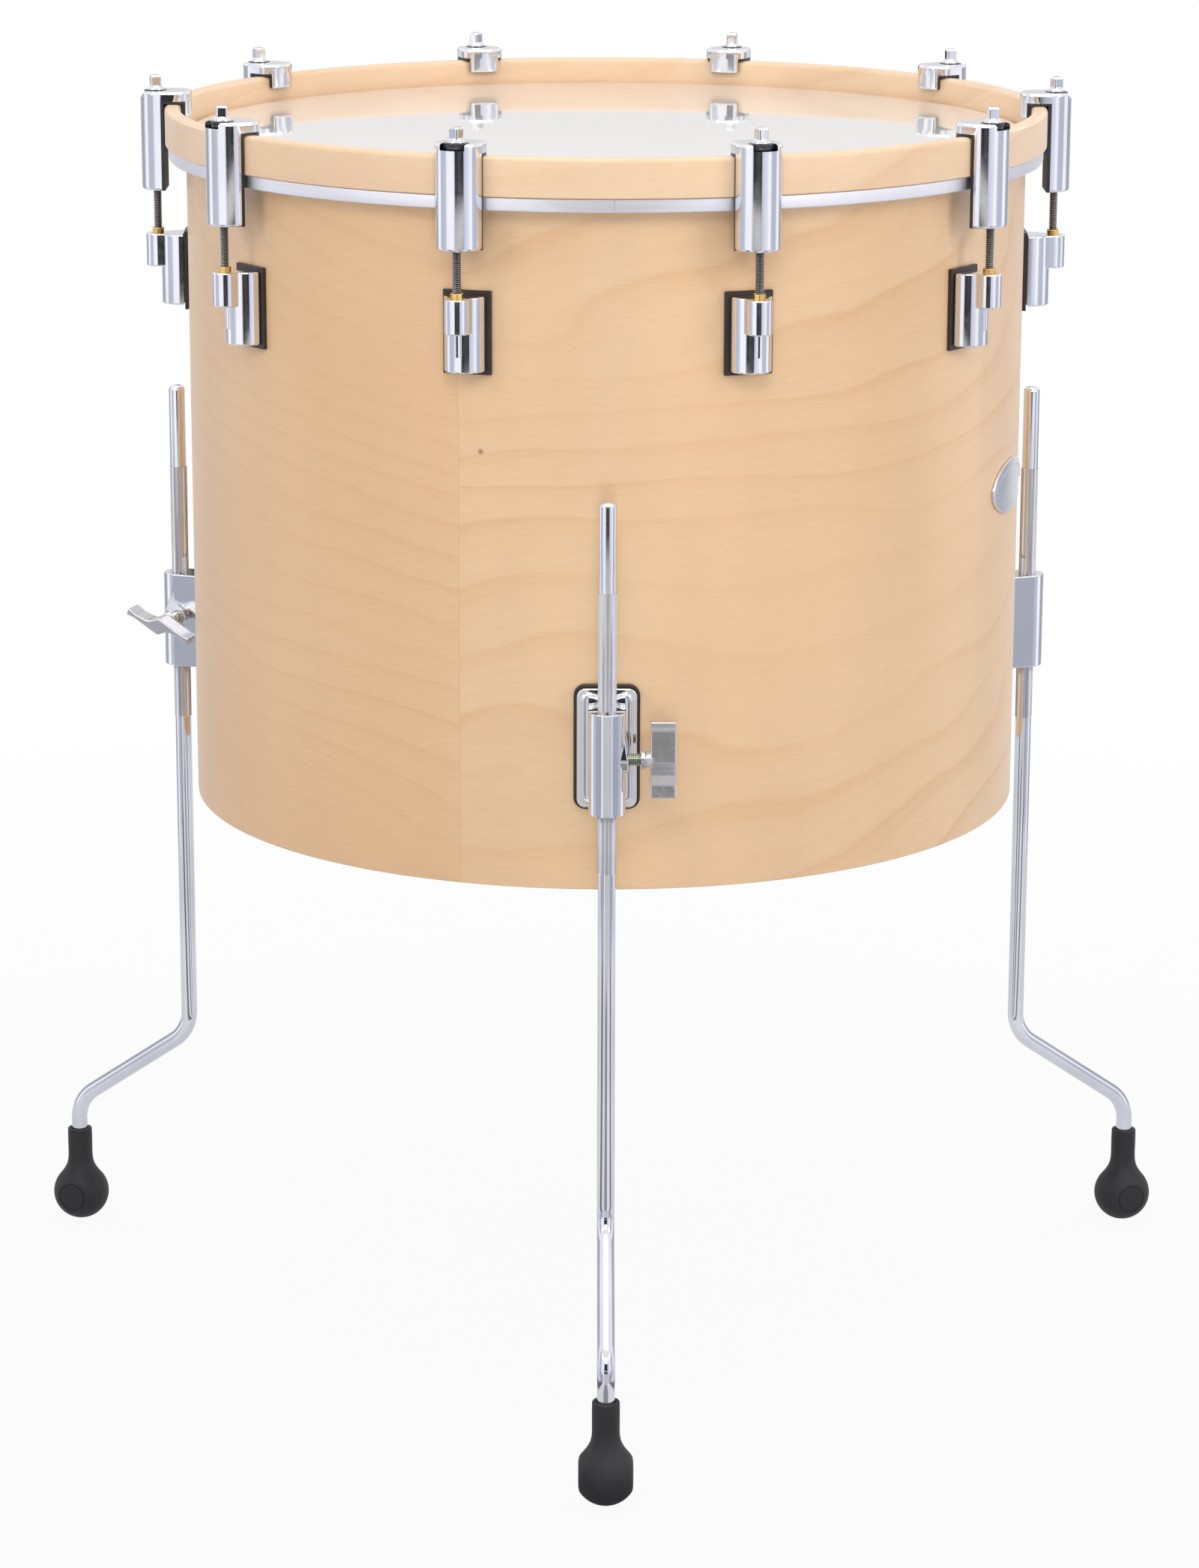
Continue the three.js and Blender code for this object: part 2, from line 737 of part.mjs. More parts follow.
const legBracket = makeLegBracket();
const bracketGasket = makeBracketGasket();
const wingBolt = makeWingBolt();
const leg = makeLeg();
const foot = makeFoot();
const legPlaces = { front: 0, right: bracketAzimuth, left: -bracketAzimuth };
for (const [side, azimuth] of Object.entries(legPlaces)) {
  place(`leg_bracket_${side}`, legBracket, 'chrome', { azimuth, height: shellLift });
  place(`bracket_gasket_${side}`, bracketGasket, 'gasket', { azimuth, height: shellLift });
  place(`wing_bolt_${side}`, wingBolt, 'zinc', {
    azimuth,
    radius: legCircle,
    height: shellLift + bracketHeight,
    turn: wingTurns[side],
  });
  place(`leg_rod_${side}`, leg, 'chrome', { azimuth, radius: legCircle });
  place(`foot_${side}`, foot, 'rubber', { azimuth, radius: legCircle + legKneeReach });
}

// The origin is on the floor under the middle of the drum's outer box.
const middle = new THREE.Box3().setFromObject(floorTom, true).getCenter(new THREE.Vector3());
floorTom.position.set(-middle.x, -middle.y, 0);

export default floorTom;
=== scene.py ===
import math

import bmesh
import bpy
from mathutils import Matrix, Vector


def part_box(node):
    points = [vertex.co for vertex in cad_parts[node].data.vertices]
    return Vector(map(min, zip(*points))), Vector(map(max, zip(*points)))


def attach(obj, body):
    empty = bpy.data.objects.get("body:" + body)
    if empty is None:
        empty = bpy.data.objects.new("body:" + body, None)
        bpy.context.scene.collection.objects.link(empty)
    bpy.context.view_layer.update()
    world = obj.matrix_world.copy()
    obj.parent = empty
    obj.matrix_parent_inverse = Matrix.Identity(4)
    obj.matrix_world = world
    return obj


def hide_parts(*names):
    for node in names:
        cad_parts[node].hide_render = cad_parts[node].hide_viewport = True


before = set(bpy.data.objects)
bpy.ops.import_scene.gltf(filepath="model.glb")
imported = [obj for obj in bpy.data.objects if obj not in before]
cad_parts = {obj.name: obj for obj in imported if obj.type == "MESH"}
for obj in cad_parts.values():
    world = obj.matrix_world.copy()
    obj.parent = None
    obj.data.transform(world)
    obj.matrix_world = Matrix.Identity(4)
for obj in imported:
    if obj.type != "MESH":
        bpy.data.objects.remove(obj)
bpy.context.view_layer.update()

scene = bpy.context.scene
scene.view_settings.view_transform = "Standard"

# Pieces are drawn in millimetres at the front of the drum: y = -r from its axis, z up from the shell's edge.
mm = 0.001
shellLow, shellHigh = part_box("shell")
drumAxis = Vector((0, (shellLow[1] + shellHigh[1]) / 2, 0))
shellEdge = shellLow[2]
drumPlace = Matrix.Translation(drumAxis + Vector((0, 0, shellEdge))) @ Matrix.Scale(mm, 4)
floorPlace = Matrix.Translation(drumAxis) @ Matrix.Scale(mm, 4)
stationCount = 10
stations = [(f"{i + 1:02d}", (i + 0.5) * 360 / stationCount) for i in range(stationCount)]
legSides = {"front": 0, "right": 108, "left": -108}


# camera, as fitted to the photograph
viewpoint = dict(
    place=(-0.01665, -2.81253, 1.08222),
    yaw=0.0048,
    pitch=0.2569,
    roll=0.0028,
    lens=108.40,
    sensor=36.0,
)


def addCamera(spec):
    data = bpy.data.cameras.new("studioCamera")
    data.sensor_width = spec["sensor"]
    data.lens = spec["lens"]
    yaw, pitch, roll = spec["yaw"], spec["pitch"], spec["roll"]
    ahead = Vector((math.sin(yaw) * math.cos(pitch), math.cos(yaw) * math.cos(pitch), -math.sin(pitch)))
    level = Vector((math.cos(yaw), -math.sin(yaw), 0))
    above = Vector((math.sin(yaw) * math.sin(pitch), math.cos(yaw) * math.sin(pitch), math.cos(pitch)))
    right = math.cos(roll) * level + math.sin(roll) * above
    up = math.cos(roll) * above - math.sin(roll) * level
    camera = bpy.data.objects.new("studioCamera", data)
    turn = Matrix((right, up, -ahead)).transposed().to_4x4()
    camera.matrix_world = Matrix.Translation(spec["place"]) @ turn
    scene.collection.objects.link(camera)
    scene.camera = camera


addCamera(viewpoint)
print("camera placed")


# node tools

def setStops(ramp, stops):
    while len(ramp.elements) < len(stops):
        ramp.elements.new(1.0)
    for element, (position, colour) in zip(ramp.elements, stops):
        element.position = position
        element.color = colour


def srgb(red, green, blue):
    channels = [value / 255 for value in (red, green, blue)]
    linear = [c / 12.92 if c <= 0.04045 else ((c + 0.055) / 1.055) ** 2.4 for c in channels]
    return (*linear, 1.0)


def turnStops(tones):  # tones by azimuth, as stops from 0 to 1 round the drum
    return [(0.5 + angle / 360, srgb(*tone)) for angle, tone in tones]


def forward(operation):  # a Math node with this socket first
    return lambda term, *others: term.maths(operation, term, *others)


def reflected(operation):  # the same with this socket last, as in 1 - mask
    return lambda term, other: term.maths(operation, other, term)


class Term:  # a node socket that Python arithmetic can use
    def __init__(self, nodes, socket):
        self.nodes = nodes
        self.socket = socket

    def maths(self, operation, *values):
        return self.nodes.node("ShaderNodeMath", dict(operation=operation), dict(enumerate(values)))

    __add__, __radd__ = forward("ADD"), reflected("ADD")
    __sub__, __rsub__ = forward("SUBTRACT"), reflected("SUBTRACT")
    __mul__, __rmul__ = forward("MULTIPLY"), reflected("MULTIPLY")
    __truediv__, __rtruediv__ = forward("DIVIDE"), reflected("DIVIDE")
    __mod__, __rmod__ = forward("MODULO"), reflected("MODULO")
    __gt__ = forward("GREATER_THAN")
    __lt__ = forward("LESS_THAN")
    least = forward("MINIMUM")
    most = forward("MAXIMUM")
    power = forward("POWER")
    size = forward("ABSOLUTE")
    rounded = forward("ROUND")
    fraction = forward("FRACT")
    sine = forward("SINE")
    cosine = forward("COSINE")
    bearing = forward("ARCTAN2")


class NodeBench:  # every node of a shader or geometry tree comes from node()
    def __init__(self, tree):
        self.tree = tree

    def node(self, kind, settings=None, sockets=None, out=0):
        made = self.tree.nodes.new(kind)
        for key, value in (settings or {}).items():
            if key == "stops":
                setStops(made.color_ramp, value)
            else:
                setattr(made, key, value)
        for key, value in (sockets or {}).items():
            for link in value if isinstance(value, list) else [value]:
                if isinstance(link, Term):
                    self.tree.links.new(link.socket, made.inputs[key])
                else:
                    made.inputs[key].default_value = link
        if isinstance(out, list):
            return [Term(self, made.outputs[key]) for key in out]
        return Term(self, made.outputs[out]) if made.outputs else made

    def spread(self, value, low, high, toLow=0.0, toHigh=1.0):
        ends = {"From Min": low, "From Max": high, "To Min": toLow, "To Max": toHigh}
        return self.node("ShaderNodeMapRange", dict(clamp=True), dict(Value=value, **ends))

    def band(self, value, low, high, blur):  # 1 between two levels
        return self.spread(value, low, low + blur) * self.spread(value, high, high + blur, 1.0, 0.0)

    def blend(self, share, first, second, mode="MIX"):
        settings = dict(data_type="RGBA", blend_type=mode)
        return self.node("ShaderNodeMix", settings, {0: share, 6: first, 7: second}, 2)

    def parts(self, where):
        return self.node("ShaderNodeSeparateXYZ", None, dict(Vector=where), ["X", "Y", "Z"])


class Finish(NodeBench):  # one node material
    def __init__(self, name, **uniform):
        self.material = bpy.data.materials.new(name)
        self.material.use_nodes = True
        super().__init__(self.material.node_tree)
        self.shader = self.tree.nodes["Principled BSDF"]
        for socket, value in uniform.items():
            self.set(socket.replace("_", " "), value)

    def set(self, socket, value):
        if isinstance(value, Term):
            self.tree.links.new(value.socket, self.shader.inputs[socket])
        else:
            self.shader.inputs[socket].default_value = value

    def place(self, stretch=(1, 1, 1), space="Object", shift=(0, 0, 0)):
        where = self.node("ShaderNodeTexCoord", out=space)
        return self.node("ShaderNodeMapping", None, dict(Vector=where, Scale=stretch, Location=shift))

    def noise(self, where, scale=1.0, detail=3.0, roughness=0.5, distortion=0.0):
        sockets = dict(Vector=where, Scale=scale, Detail=detail, Roughness=roughness, Distortion=distortion)
        return self.node("ShaderNodeTexNoise", None, sockets)

    def layer(self, stretch, shift=(0, 0, 0), **noise):  # noise over the piece's map
        return self.noise(self.place(stretch, "UV", shift), **noise)

    def ramp(self, value, *stops):
        return self.node("ShaderNodeValToRGB", dict(stops=stops), dict(Fac=value))

    def relief(self, height, distance, strength=1.0):
        sockets = dict(Height=height, Distance=distance, Strength=strength)
        self.set("Normal", self.node("ShaderNodeBump", None, sockets))


# studio: pale floor, white world, soft lamps, and a surround that only polished surfaces see
studio = dict(
    floorHalf=9.0,
    floorGlow=0.93,
    floorFade=(0.7, 1.7),
    floorTones=((186, 186, 189), (192, 192, 194)),
    worldTone=(0.86, 0.88, 0.90, 1),
    worldStrength=0.42,
    white=(1.0, 1.0, 1.0, 1),
    legTones=[
        (-180, (225, 226, 230)), (-100, (220, 222, 228)), (-62, (240, 240, 244)), (-50, (96, 96, 100)),
        (-40, (92, 92, 96)), (-34, (236, 237, 242)), (-14, (230, 231, 236)), (-10, (150, 150, 154)),
        (8, (146, 146, 150)), (12, (238, 239, 243)), (34, (244, 244, 248)), (40, (112, 112, 116)),
        (48, (108, 108, 112)), (56, (238, 238, 242)), (100, (222, 224, 230)), (180, (225, 226, 230)),
    ],
)
lamps = [
    dict(name="overheadBox", place=(0.0, 0.1, 3.2), aim=(0.0, 0.0, 0.6), size=(2.6, 2.6), watts=34),
    dict(name="leftBox", place=(-2.4, -1.7, 1.8), aim=(0.0, 0.0, 0.55), size=(1.0, 1.8), watts=20),
    dict(name="rightBox", place=(2.4, -1.5, 1.6), aim=(0.0, 0.0, 0.55), size=(1.0, 1.8), watts=24),
    dict(name="frontBox", place=(0.0, -2.4, 2.3), aim=(0.0, -0.25, 0.8), size=(1.6, 0.9), watts=18),
    dict(name="sheenBox", place=(0.03, -2.2, 0.5), aim=(0.0, -0.2, 0.5), size=(0.4, 0.8), watts=6.2),
    dict(name="rightRimBox", place=(1.9, 1.5, 0.8), aim=(0.2, 0.0, 0.55), size=(0.8, 1.4), watts=17),
    dict(name="leftRimBox", place=(-1.9, 1.5, 0.8), aim=(-0.2, 0.0, 0.55), size=(0.8, 1.4), watts=12),
    dict(name="backBox", place=(0.0, 2.3, 0.5), aim=(0.0, 0.2, 0.5), size=(1.8, 0.5), watts=12),
]
surround = dict(  # azimuths in degrees from the front of the drum, heights in metres
    radius=1.33,
    top=1.0,
    sides=120,
    glow=1.12,
    tones=[
        (-180, (218, 216, 216)), (-142, (216, 215, 217)), (-136, (164, 168, 178)), (-109, (168, 172, 184)),
        (-103, (250, 250, 254)), (-88, (252, 252, 255)), (-82, (188, 192, 206)), (-59, (196, 200, 214)),
        (-51, (250, 250, 255)), (-26, (252, 252, 255)), (-20, (210, 212, 224)), (-18, (202, 200, 198)),
        (16, (202, 200, 198)), (18, (196, 199, 214)), (30, (222, 224, 238)), (40, (228, 229, 242)),
        (44, (252, 252, 255)), (54, (252, 252, 255)), (60, (192, 196, 210)), (82, (186, 190, 205)),
        (88, (250, 250, 254)), (103, (250, 250, 254)), (109, (166, 170, 182)), (136, (162, 166, 176)),
        (142, (216, 215, 217)), (180, (218, 216, 216)),
    ],
    blur=0.01,
    lowSide=dict(tone=(170, 172, 184), azimuths=(28.0, 62.0), turnBlur=4.0, below=0.30, blur=0.05),
    dark=(44, 44, 46),
    frontMiddle=-1.0,
    frontHalf=18.0,
    lowDark=(0.42, 0.525),
    highDark=0.548,
    ragged=0.05,
    rearFrom=164.0,
    rearHeights=(0.50, 0.80),
)


def stageObject(name, corners, faces, material):
    form = bpy.data.meshes.new(name)
    form.from_pydata(corners, [], faces)
    form.materials.append(material)
    stage = bpy.data.objects.new(name, form)
    scene.collection.objects.link(stage)
    return stage


def addLamp(spec):
    data = bpy.data.lights.new(spec["name"], "AREA")
    data.shape = "RECTANGLE"
    data.size, data.size_y = spec["size"]
    data.energy = spec["watts"]
    lamp = bpy.data.objects.new(spec["name"], data)
    aim = Vector(spec["aim"]) - Vector(spec["place"])
    lamp.matrix_world = Matrix.Translation(spec["place"]) @ aim.to_track_quat("-Z", "Y").to_matrix().to_4x4()
    scene.collection.objects.link(lamp)


def seenShare(bench):  # 1 where the eye, a reflection or glass looks, 0 for light that falls on the object
    rays = bench.node("ShaderNodeLightPath", out=["Is Camera Ray", "Is Glossy Ray", "Is Transmission Ray"])
    return bench.spread(sum(rays, 0.0), 0.0, 1.0)


def lightWorld():
    world = bpy.data.worlds.new("studioWorld")
    world.use_nodes = True
    scene.world = world
    bench = NodeBench(world.node_tree)
    background = world.node_tree.nodes["Background"]
    seen = seenShare(bench)
    tone = bench.blend(seen, studio["worldTone"], studio["white"])
    strength = bench.spread(seen, 0.0, 1.0, studio["worldStrength"], 1.0)
    world.node_tree.links.new(tone.socket, background.inputs["Color"])
    world.node_tree.links.new(strength.socket, background.inputs["Strength"])


def layFloor():
    paper = Finish("floorPaper", Roughness=0.9)
    fibre = paper.noise(paper.place(), 5.0, 2.0)
    low, high = studio["floorTones"]
    paper.set("Base Color", paper.ramp(fibre, (0.3, srgb(*low)), (0.7, srgb(*high))))
    east, north = paper.parts(paper.place())[:2]
    azimuth = east.bearing(0.0 - north) / (2 * math.pi) + 0.5
    glossy = paper.node("ShaderNodeLightPath", out="Is Glossy Ray")
    tone = paper.blend(glossy, studio["white"], paper.ramp(azimuth, *turnStops(studio["legTones"])))
    glow = paper.node("ShaderNodeEmission", None, dict(Color=tone, Strength=1.0))
    away = (east * east + north * north).power(0.5)
    share = seenShare(paper) * paper.spread(away, *studio["floorFade"], studio["floorGlow"], 1.0)
    lit = Term(paper, paper.shader.outputs[0])
    mixed = paper.node("ShaderNodeMixShader", None, {0: share, 1: lit, 2: glow})
    output = paper.tree.nodes["Material Output"]
    paper.tree.links.new(mixed.socket, output.inputs["Surface"])
    half = studio["floorHalf"]
    corners = [(-half, -half, 0), (half, -half, 0), (half, half, 0), (-half, half, 0)]
    stageObject("studioFloor", corners, [(0, 1, 2, 3)], paper.material)


def addSurround(spec):
    paint = Finish("surroundPaint")
    east, north, height = paint.parts(paint.place())
    azimuth = east.bearing(0.0 - north) * (180 / math.pi)
    tone = paint.ramp(azimuth / 360.0 + 0.5, *turnStops(spec["tones"]))
    side, blur, edge = spec["lowSide"], spec["blur"], 0.5
    flank = paint.band(azimuth.size(), *side["azimuths"], side["turnBlur"])
    flank = flank * paint.spread(height, side["below"], side["below"] + side["blur"], 1.0, 0.0)
    tone = paint.blend(flank, tone, srgb(*side["tone"]))
    turn = (azimuth - spec["frontMiddle"]).size()
    beside = paint.spread(turn, spec["frontHalf"] - edge, spec["frontHalf"] + edge, 1.0, 0.0)
    lowBand = paint.band(height, *spec["lowDark"], blur)
    rim = paint.noise(paint.place(), 45.0, 4.0, 0.7) * spec["ragged"] + spec["highDark"]
    highBand = paint.spread(height - rim, 0.0, 0.001)
    rear = paint.spread(azimuth.size(), spec["rearFrom"] - edge, spec["rearFrom"] + edge)
    rear = rear * paint.band(height, *spec["rearHeights"], blur)
    tone = paint.blend((beside * lowBand.most(highBand)).most(rear), tone, srgb(*spec["dark"]))
    glow = paint.node("ShaderNodeEmission", None, dict(Color=tone, Strength=spec["glow"]))
    paint.tree.links.new(glow.socket, paint.tree.nodes["Material Output"].inputs["Surface"])
    corners, faces = [], []
    sides = spec["sides"]
    for i in range(sides):
        angle = 2 * math.pi * i / sides
        for level in (0.0, spec["top"]):
            corners.append((spec["radius"] * math.sin(angle), -spec["radius"] * math.cos(angle), level))
    for i in range(sides):
        a, b = 2 * i, 2 * ((i + 1) % sides)
        faces.append((a, b, b + 1, a + 1))
    wall = stageObject("studioSurround", corners, faces, paint.material)
    for ray in ("camera", "diffuse", "shadow", "transmission", "volume_scatter"):
        setattr(wall, "visible_" + ray, False)


lightWorld()
layFloor()
for lampSpec in lamps:
    addLamp(lampSpec)
addSurround(surround)
print("studio set")


# finishes
woodNoise = dict(  # layers of noise, across and up the unrolled wood
    drift=dict(stretch=(0.9, 3.2, 1), detail=2.0),
    wander=dict(stretch=(2.0, 5.0, 1), shift=(3.1, 0.7, 0), detail=1.8, roughness=0.45, distortion=0.5),
    ripple=dict(stretch=(9, 22, 1), shift=(1.1, 4.7, 0), detail=2.0),
    patches=dict(stretch=(3.1, 9, 1), shift=(5, 2, 0), detail=1.0),
    fibre=dict(stretch=(60, 1500, 1), detail=2.0, roughness=0.6),
    pores=dict(stretch=(150, 2400, 1), shift=(7, 3, 0), detail=1.0),
    curl=dict(stretch=(16, 2.2, 1), shift=(0, 5, 0), detail=1.0),
)
figures = dict(  # how the lines run up and across the wood, and how the noise bends them
    loops=dict(up=28.0, across=-6.0, wander=7.0, ripple=0.5),
    slopes=dict(up=52.0, across=13.0, wander=5.0, ripple=0.8),
)
growth = dict(
    rings=dict(often=1.0, sharp=4.5, end=0.93, strength=0.42),
    fineRings=dict(often=3.7, sharp=3.0, end=0.9, strength=0.10),
)


def growthLines(wood, figure, often, sharp, end, strength):  # lines that deepen slowly and end at once
    line = (figure * often).fraction()
    return line.power(sharp) * wood.spread(line, end, 1.0, 1.0, 0.0) * strength


def mapleFinish(name, light, warm, deep, seam=None, speck=None):
    wood = Finish(name, Coat_Weight=0.5, Coat_Roughness=0.3, Coat_IOR=1.45, IOR=1.42)
    flat = wood.place((1, 1, 1), "UV")
    across, up = wood.parts(flat)[:2]
    noise = {key: wood.layer(**spec) for key, spec in woodNoise.items()}
    parts = dict(noise, across=across, up=up)
    figure, slopes = [sum(parts[key] * share for key, share in spec.items()) for spec in figures.values()]
    if seam:
        behind = wood.spread(across, seam["at"] - seam["blur"], seam["at"] + seam["blur"], 1.0, 0.0)
        figure = figure + behind * (slopes - figure)
    presence = wood.spread(noise["patches"], 0.36, 0.62, 0.25, 1.0)  # the lines fade in and out
    strength = sum(growthLines(wood, figure, **spec) for spec in growth.values()) * presence
    if seam:
        strength = strength * (1.0 - behind * seam["fade"])
    base = wood.blend(wood.spread(noise["drift"], 0.3, 0.7), light, warm)
    lined = wood.blend(strength, base, deep)
    fibre, pores = noise["fibre"], wood.spread(noise["pores"], 0.64, 0.76)
    shade = wood.spread(fibre, 0.25, 0.75, 0.95, 1.035) * wood.spread(noise["curl"], 0.3, 0.7, 0.97, 1.02)
    shade = shade * (1.0 - pores * 0.10)
    if seam:
        hairline = wood.spread((across - seam["at"]).size(), 0.0, seam["hair"], 1.0, 0.0)
        shade = shade * (1.0 - behind * seam["tone"]) * (1.0 - hairline * seam["dark"])
        lined = wood.blend(behind, lined, seam["tint"], "MULTIPLY")
    if speck:
        offset = wood.node("ShaderNodeVectorMath", dict(operation="SUBTRACT"), {0: flat, 1: speck["at"]})
        away = wood.node("ShaderNodeVectorMath", dict(operation="LENGTH"), {0: offset}, "Value")
        shade = shade * (1.0 - wood.spread(away, speck["core"], speck["halo"], speck["dark"], 0.0))
    toned = wood.node("ShaderNodeVectorMath", dict(operation="SCALE"), {0: lined, "Scale": shade})
    wood.set("Base Color", toned)
    wood.set("Roughness", wood.spread(fibre, 0.2, 0.8, 0.36, 0.46))
    wood.relief(fibre - pores, 0.00004, 0.5)
    return wood.material


def metalFinish(
        name, dull, bright, gloss, texture=(1, 1, 1), grain=240.0, relief=0.000004, space="Object",
        groove=None):
    metal = Finish(name, Metallic=1.0)
    film = metal.noise(metal.place(texture, space), 18.0, 3.0)
    fine = metal.noise(metal.place(texture, space), grain, 3.0, 0.6)
    tone = metal.ramp(film, (0.3, dull), (0.7, bright))
    if groove:  # the piece's map runs from 0 in its grooves to 1 on its crests, and painted shade darkens the grooves towards the groove tone
        rise = metal.parts(metal.place((1, 1, 1), "UV"))[0]
        tone = metal.blend(metal.spread(rise, groove["low"], groove["high"]), groove["tone"], tone)
    metal.set("Base Color", tone)
    metal.set("Roughness", metal.spread(fine, 0.25, 0.75, gloss[0], gloss[1]))
    metal.relief(fine, relief, 0.4)
    return metal.material


def blackFinish(name, low, high, gloss, grain=700.0, relief=0.00006, bend=1.48):
    black = Finish(name, IOR=bend)
    cloud = black.noise(black.place(), 35.0, 3.0)
    fine = black.noise(black.place(), grain, 2.0, 0.6)
    black.set("Base Color", black.ramp(cloud * 0.6 + fine * 0.4, (0.3, low), (0.7, high)))
    black.set("Roughness", black.spread(fine, 0.3, 0.7, gloss[0], gloss[1]))
    black.relief(fine, relief, 0.5)
    return black.material


def filmFinish():
    film = Finish("batterFilm", IOR=1.5, Coat_Weight=0.5, Coat_Roughness=0.02)
    haze = film.noise(film.place(), 9.0, 2.0)
    dust = film.noise(film.place(), 420.0, 2.0)
    film.set("Base Color", film.ramp(haze, (0.3, srgb(243, 239, 236)), (0.7, srgb(246, 243, 240))))
    film.set("Roughness", film.spread(dust, 0.3, 0.7, 0.035, 0.06))
    film.relief(haze, 0.0001, 0.15)
    return film.material


finishes = dict(
    shell=mapleFinish(
        "shellMaple",
        light=srgb(240, 205, 163),
        warm=srgb(232, 189, 145),
        deep=srgb(212, 152, 100),
        seam=dict(
            at=math.radians(-19.4) * 0.254, blur=0.0002, hair=0.0006, tone=0.02, dark=0.10, fade=0.4,
            tint=(1.0, 0.955, 0.91, 1)),
        speck=dict(at=(math.radians(-16.4) * 0.254, 0.2540, 0), core=0.0008, halo=0.0021, dark=0.55),
    ),
    hoop=mapleFinish(
        "hoopMaple",
        light=srgb(247, 214, 178),
        warm=srgb(240, 202, 163),
        deep=srgb(224, 174, 126),
    ),
    film=filmFinish(),
    chrome=metalFinish("chromePlate", srgb(226, 227, 232), srgb(238, 239, 243), (0.045, 0.085)),
    wingChrome=metalFinish("wingChrome", srgb(206, 205, 207), srgb(222, 221, 223), (0.24, 0.30)),
    legChrome=metalFinish("legChrome", srgb(220, 221, 226), srgb(236, 237, 241), (0.06, 0.10)),
    # painted shade: the knurl's grooves and flanks are darkened to a near-black tone
    knurl=metalFinish(
        "knurlChrome", srgb(222, 222, 224), srgb(236, 236, 238), (0.12, 0.20),
        groove=dict(low=0.12, high=1.0, tone=srgb(40, 40, 43))),
    steel=metalFinish("rodSteel", srgb(178, 176, 174), srgb(210, 209, 208), (0.22, 0.34), grain=900.0),
    # painted shade: the rod thread's grooves are darkened
    rodThread=metalFinish(
        "rodThread", srgb(178, 176, 174), srgb(210, 209, 208), (0.20, 0.30), grain=900.0,
        groove=dict(low=0.1, high=0.75, tone=srgb(52, 50, 48))),
    zinc=metalFinish("zincPlate", srgb(196, 204, 190), srgb(222, 226, 220), (0.18, 0.30), grain=600.0),
    # painted shade: the bolt thread's grooves are darkened a little
    boltThread=metalFinish(
        "boltThread", srgb(196, 206, 190), srgb(224, 228, 222), (0.18, 0.28), grain=600.0,
        groove=dict(low=0.0, high=0.5, tone=srgb(128, 134, 122))),
    aluminium=metalFinish(
        "brushedAluminium", srgb(228, 227, 231), srgb(243, 242, 246), (0.40, 0.52),
        texture=(1, 220, 1), grain=14.0, relief=0.00001, space="UV"),
    brass=metalFinish("insertBrass", srgb(214, 172, 92), srgb(240, 206, 134), (0.16, 0.28), grain=500.0),
    badge=metalFinish("badgeMetal", srgb(222, 223, 226), srgb(240, 240, 243), (0.20, 0.30), grain=500.0),
    rubber=blackFinish("footRubber", srgb(32, 31, 34), srgb(46, 45, 48), (0.50, 0.64), bend=1.4),
    gasket=blackFinish("gasketRubber", srgb(36, 26, 25), srgb(54, 43, 40), (0.34, 0.50)),
    nylon=blackFinish("blackNylon", srgb(34, 34, 36), srgb(52, 52, 54), (0.30, 0.42)),
)
print("finishes mixed")


# shaping tools
mergeReach = 1e-4  # points of an outline closer than this are one


def outward(form):  # turns every face outwards
    work = bmesh.new()
    work.from_mesh(form)
    bmesh.ops.recalc_face_normals(work, faces=work.faces)
    work.to_mesh(form)
    work.free()
    return form


def meshOf(name, corners, faces):
    form = bpy.data.meshes.new(name)
    form.from_pydata(corners, [], faces)
    return outward(form)


def wallFaces(levels, sides):  # the faces between rings of corners
    faces = []
    for level in range(levels - 1):
        for i in range(sides):
            a, b = level * sides + i, level * sides + (i + 1) % sides
            faces.append((a, b, b + sides, a + sides))
    return faces


def moved(form, matrix):
    form.transform(matrix)
    return form


def arc(centre, radius, first, last, steps, second=None):
    points = []
    for i in range(steps + 1):
        angle = math.radians(first + (last - first) * i / steps)
        x = centre[0] + radius * math.cos(angle)
        points.append((x, centre[1] + (second or radius) * math.sin(angle)))
    return points


def eased(points, rounds, steps=6):  # an outline with its corners rounded
    if not isinstance(rounds, (list, tuple)):
        rounds = [rounds] * len(points)
    result = []
    for i, size in enumerate(rounds):
        here = Vector(points[i])
        before = Vector(points[i - 1]) - here
        after = Vector(points[(i + 1) % len(points)]) - here
        half = before.angle(after) / 2
        if size <= 0 or abs(half - math.pi / 2) < 0.01:
            result.append(tuple(here))
            continue
        reach = min(size / math.tan(half), 0.49 * before.length, 0.49 * after.length)
        radius = reach * math.tan(half)
        centre = here + (before.normalized() + after.normalized()).normalized() * (radius / math.sin(half))
        start = here + before.normalized() * reach - centre
        end = here + after.normalized() * reach - centre
        first = math.atan2(start.y, start.x)
        sweep = (math.atan2(end.y, end.x) - first + math.pi) % (2 * math.pi) - math.pi
        for k in range(steps + 1):
            angle = first + sweep * k / steps
            result.append((centre.x + radius * math.cos(angle), centre.y + radius * math.sin(angle)))
    return result


def fourCorners(left, right, low, high):
    return [(left, low), (right, low), (right, high), (left, high)]


def rectangle(width, height, corner=0.0, steps=8):
    x, y = width / 2, height / 2
    return eased(fourCorners(-x, x, -y, y), corner, steps)


def refined(outline, step):  # more points, so that no edge is much longer than the step
    points = []
    for a, b in zip(outline, outline[1:] + outline[:1]):
        start, end = Vector(a), Vector(b)
        count = max(1, int((end - start).length / step))
        points += [start.lerp(end, k / count) for k in range(count)]
    return points


def area(outline):
    pairs = zip(outline, outline[1:] + outline[:1])
    return sum(a[0] * b[1] - b[0] * a[1] for a, b in pairs) / 2


def inset(outline, distance):
    result = []
    for i, point in enumerate(outline):
        here = Vector(point)
        before = (here - Vector(outline[i - 1])).normalized()
        after = (Vector(outline[(i + 1) % len(outline)]) - here).normalized()
        first, second = Vector((-before.y, before.x)), Vector((-after.y, after.x))
        lean = max(1 + first.dot(second), 0.4)
        result.append(tuple(here + (first + second) / lean * distance))
    return result


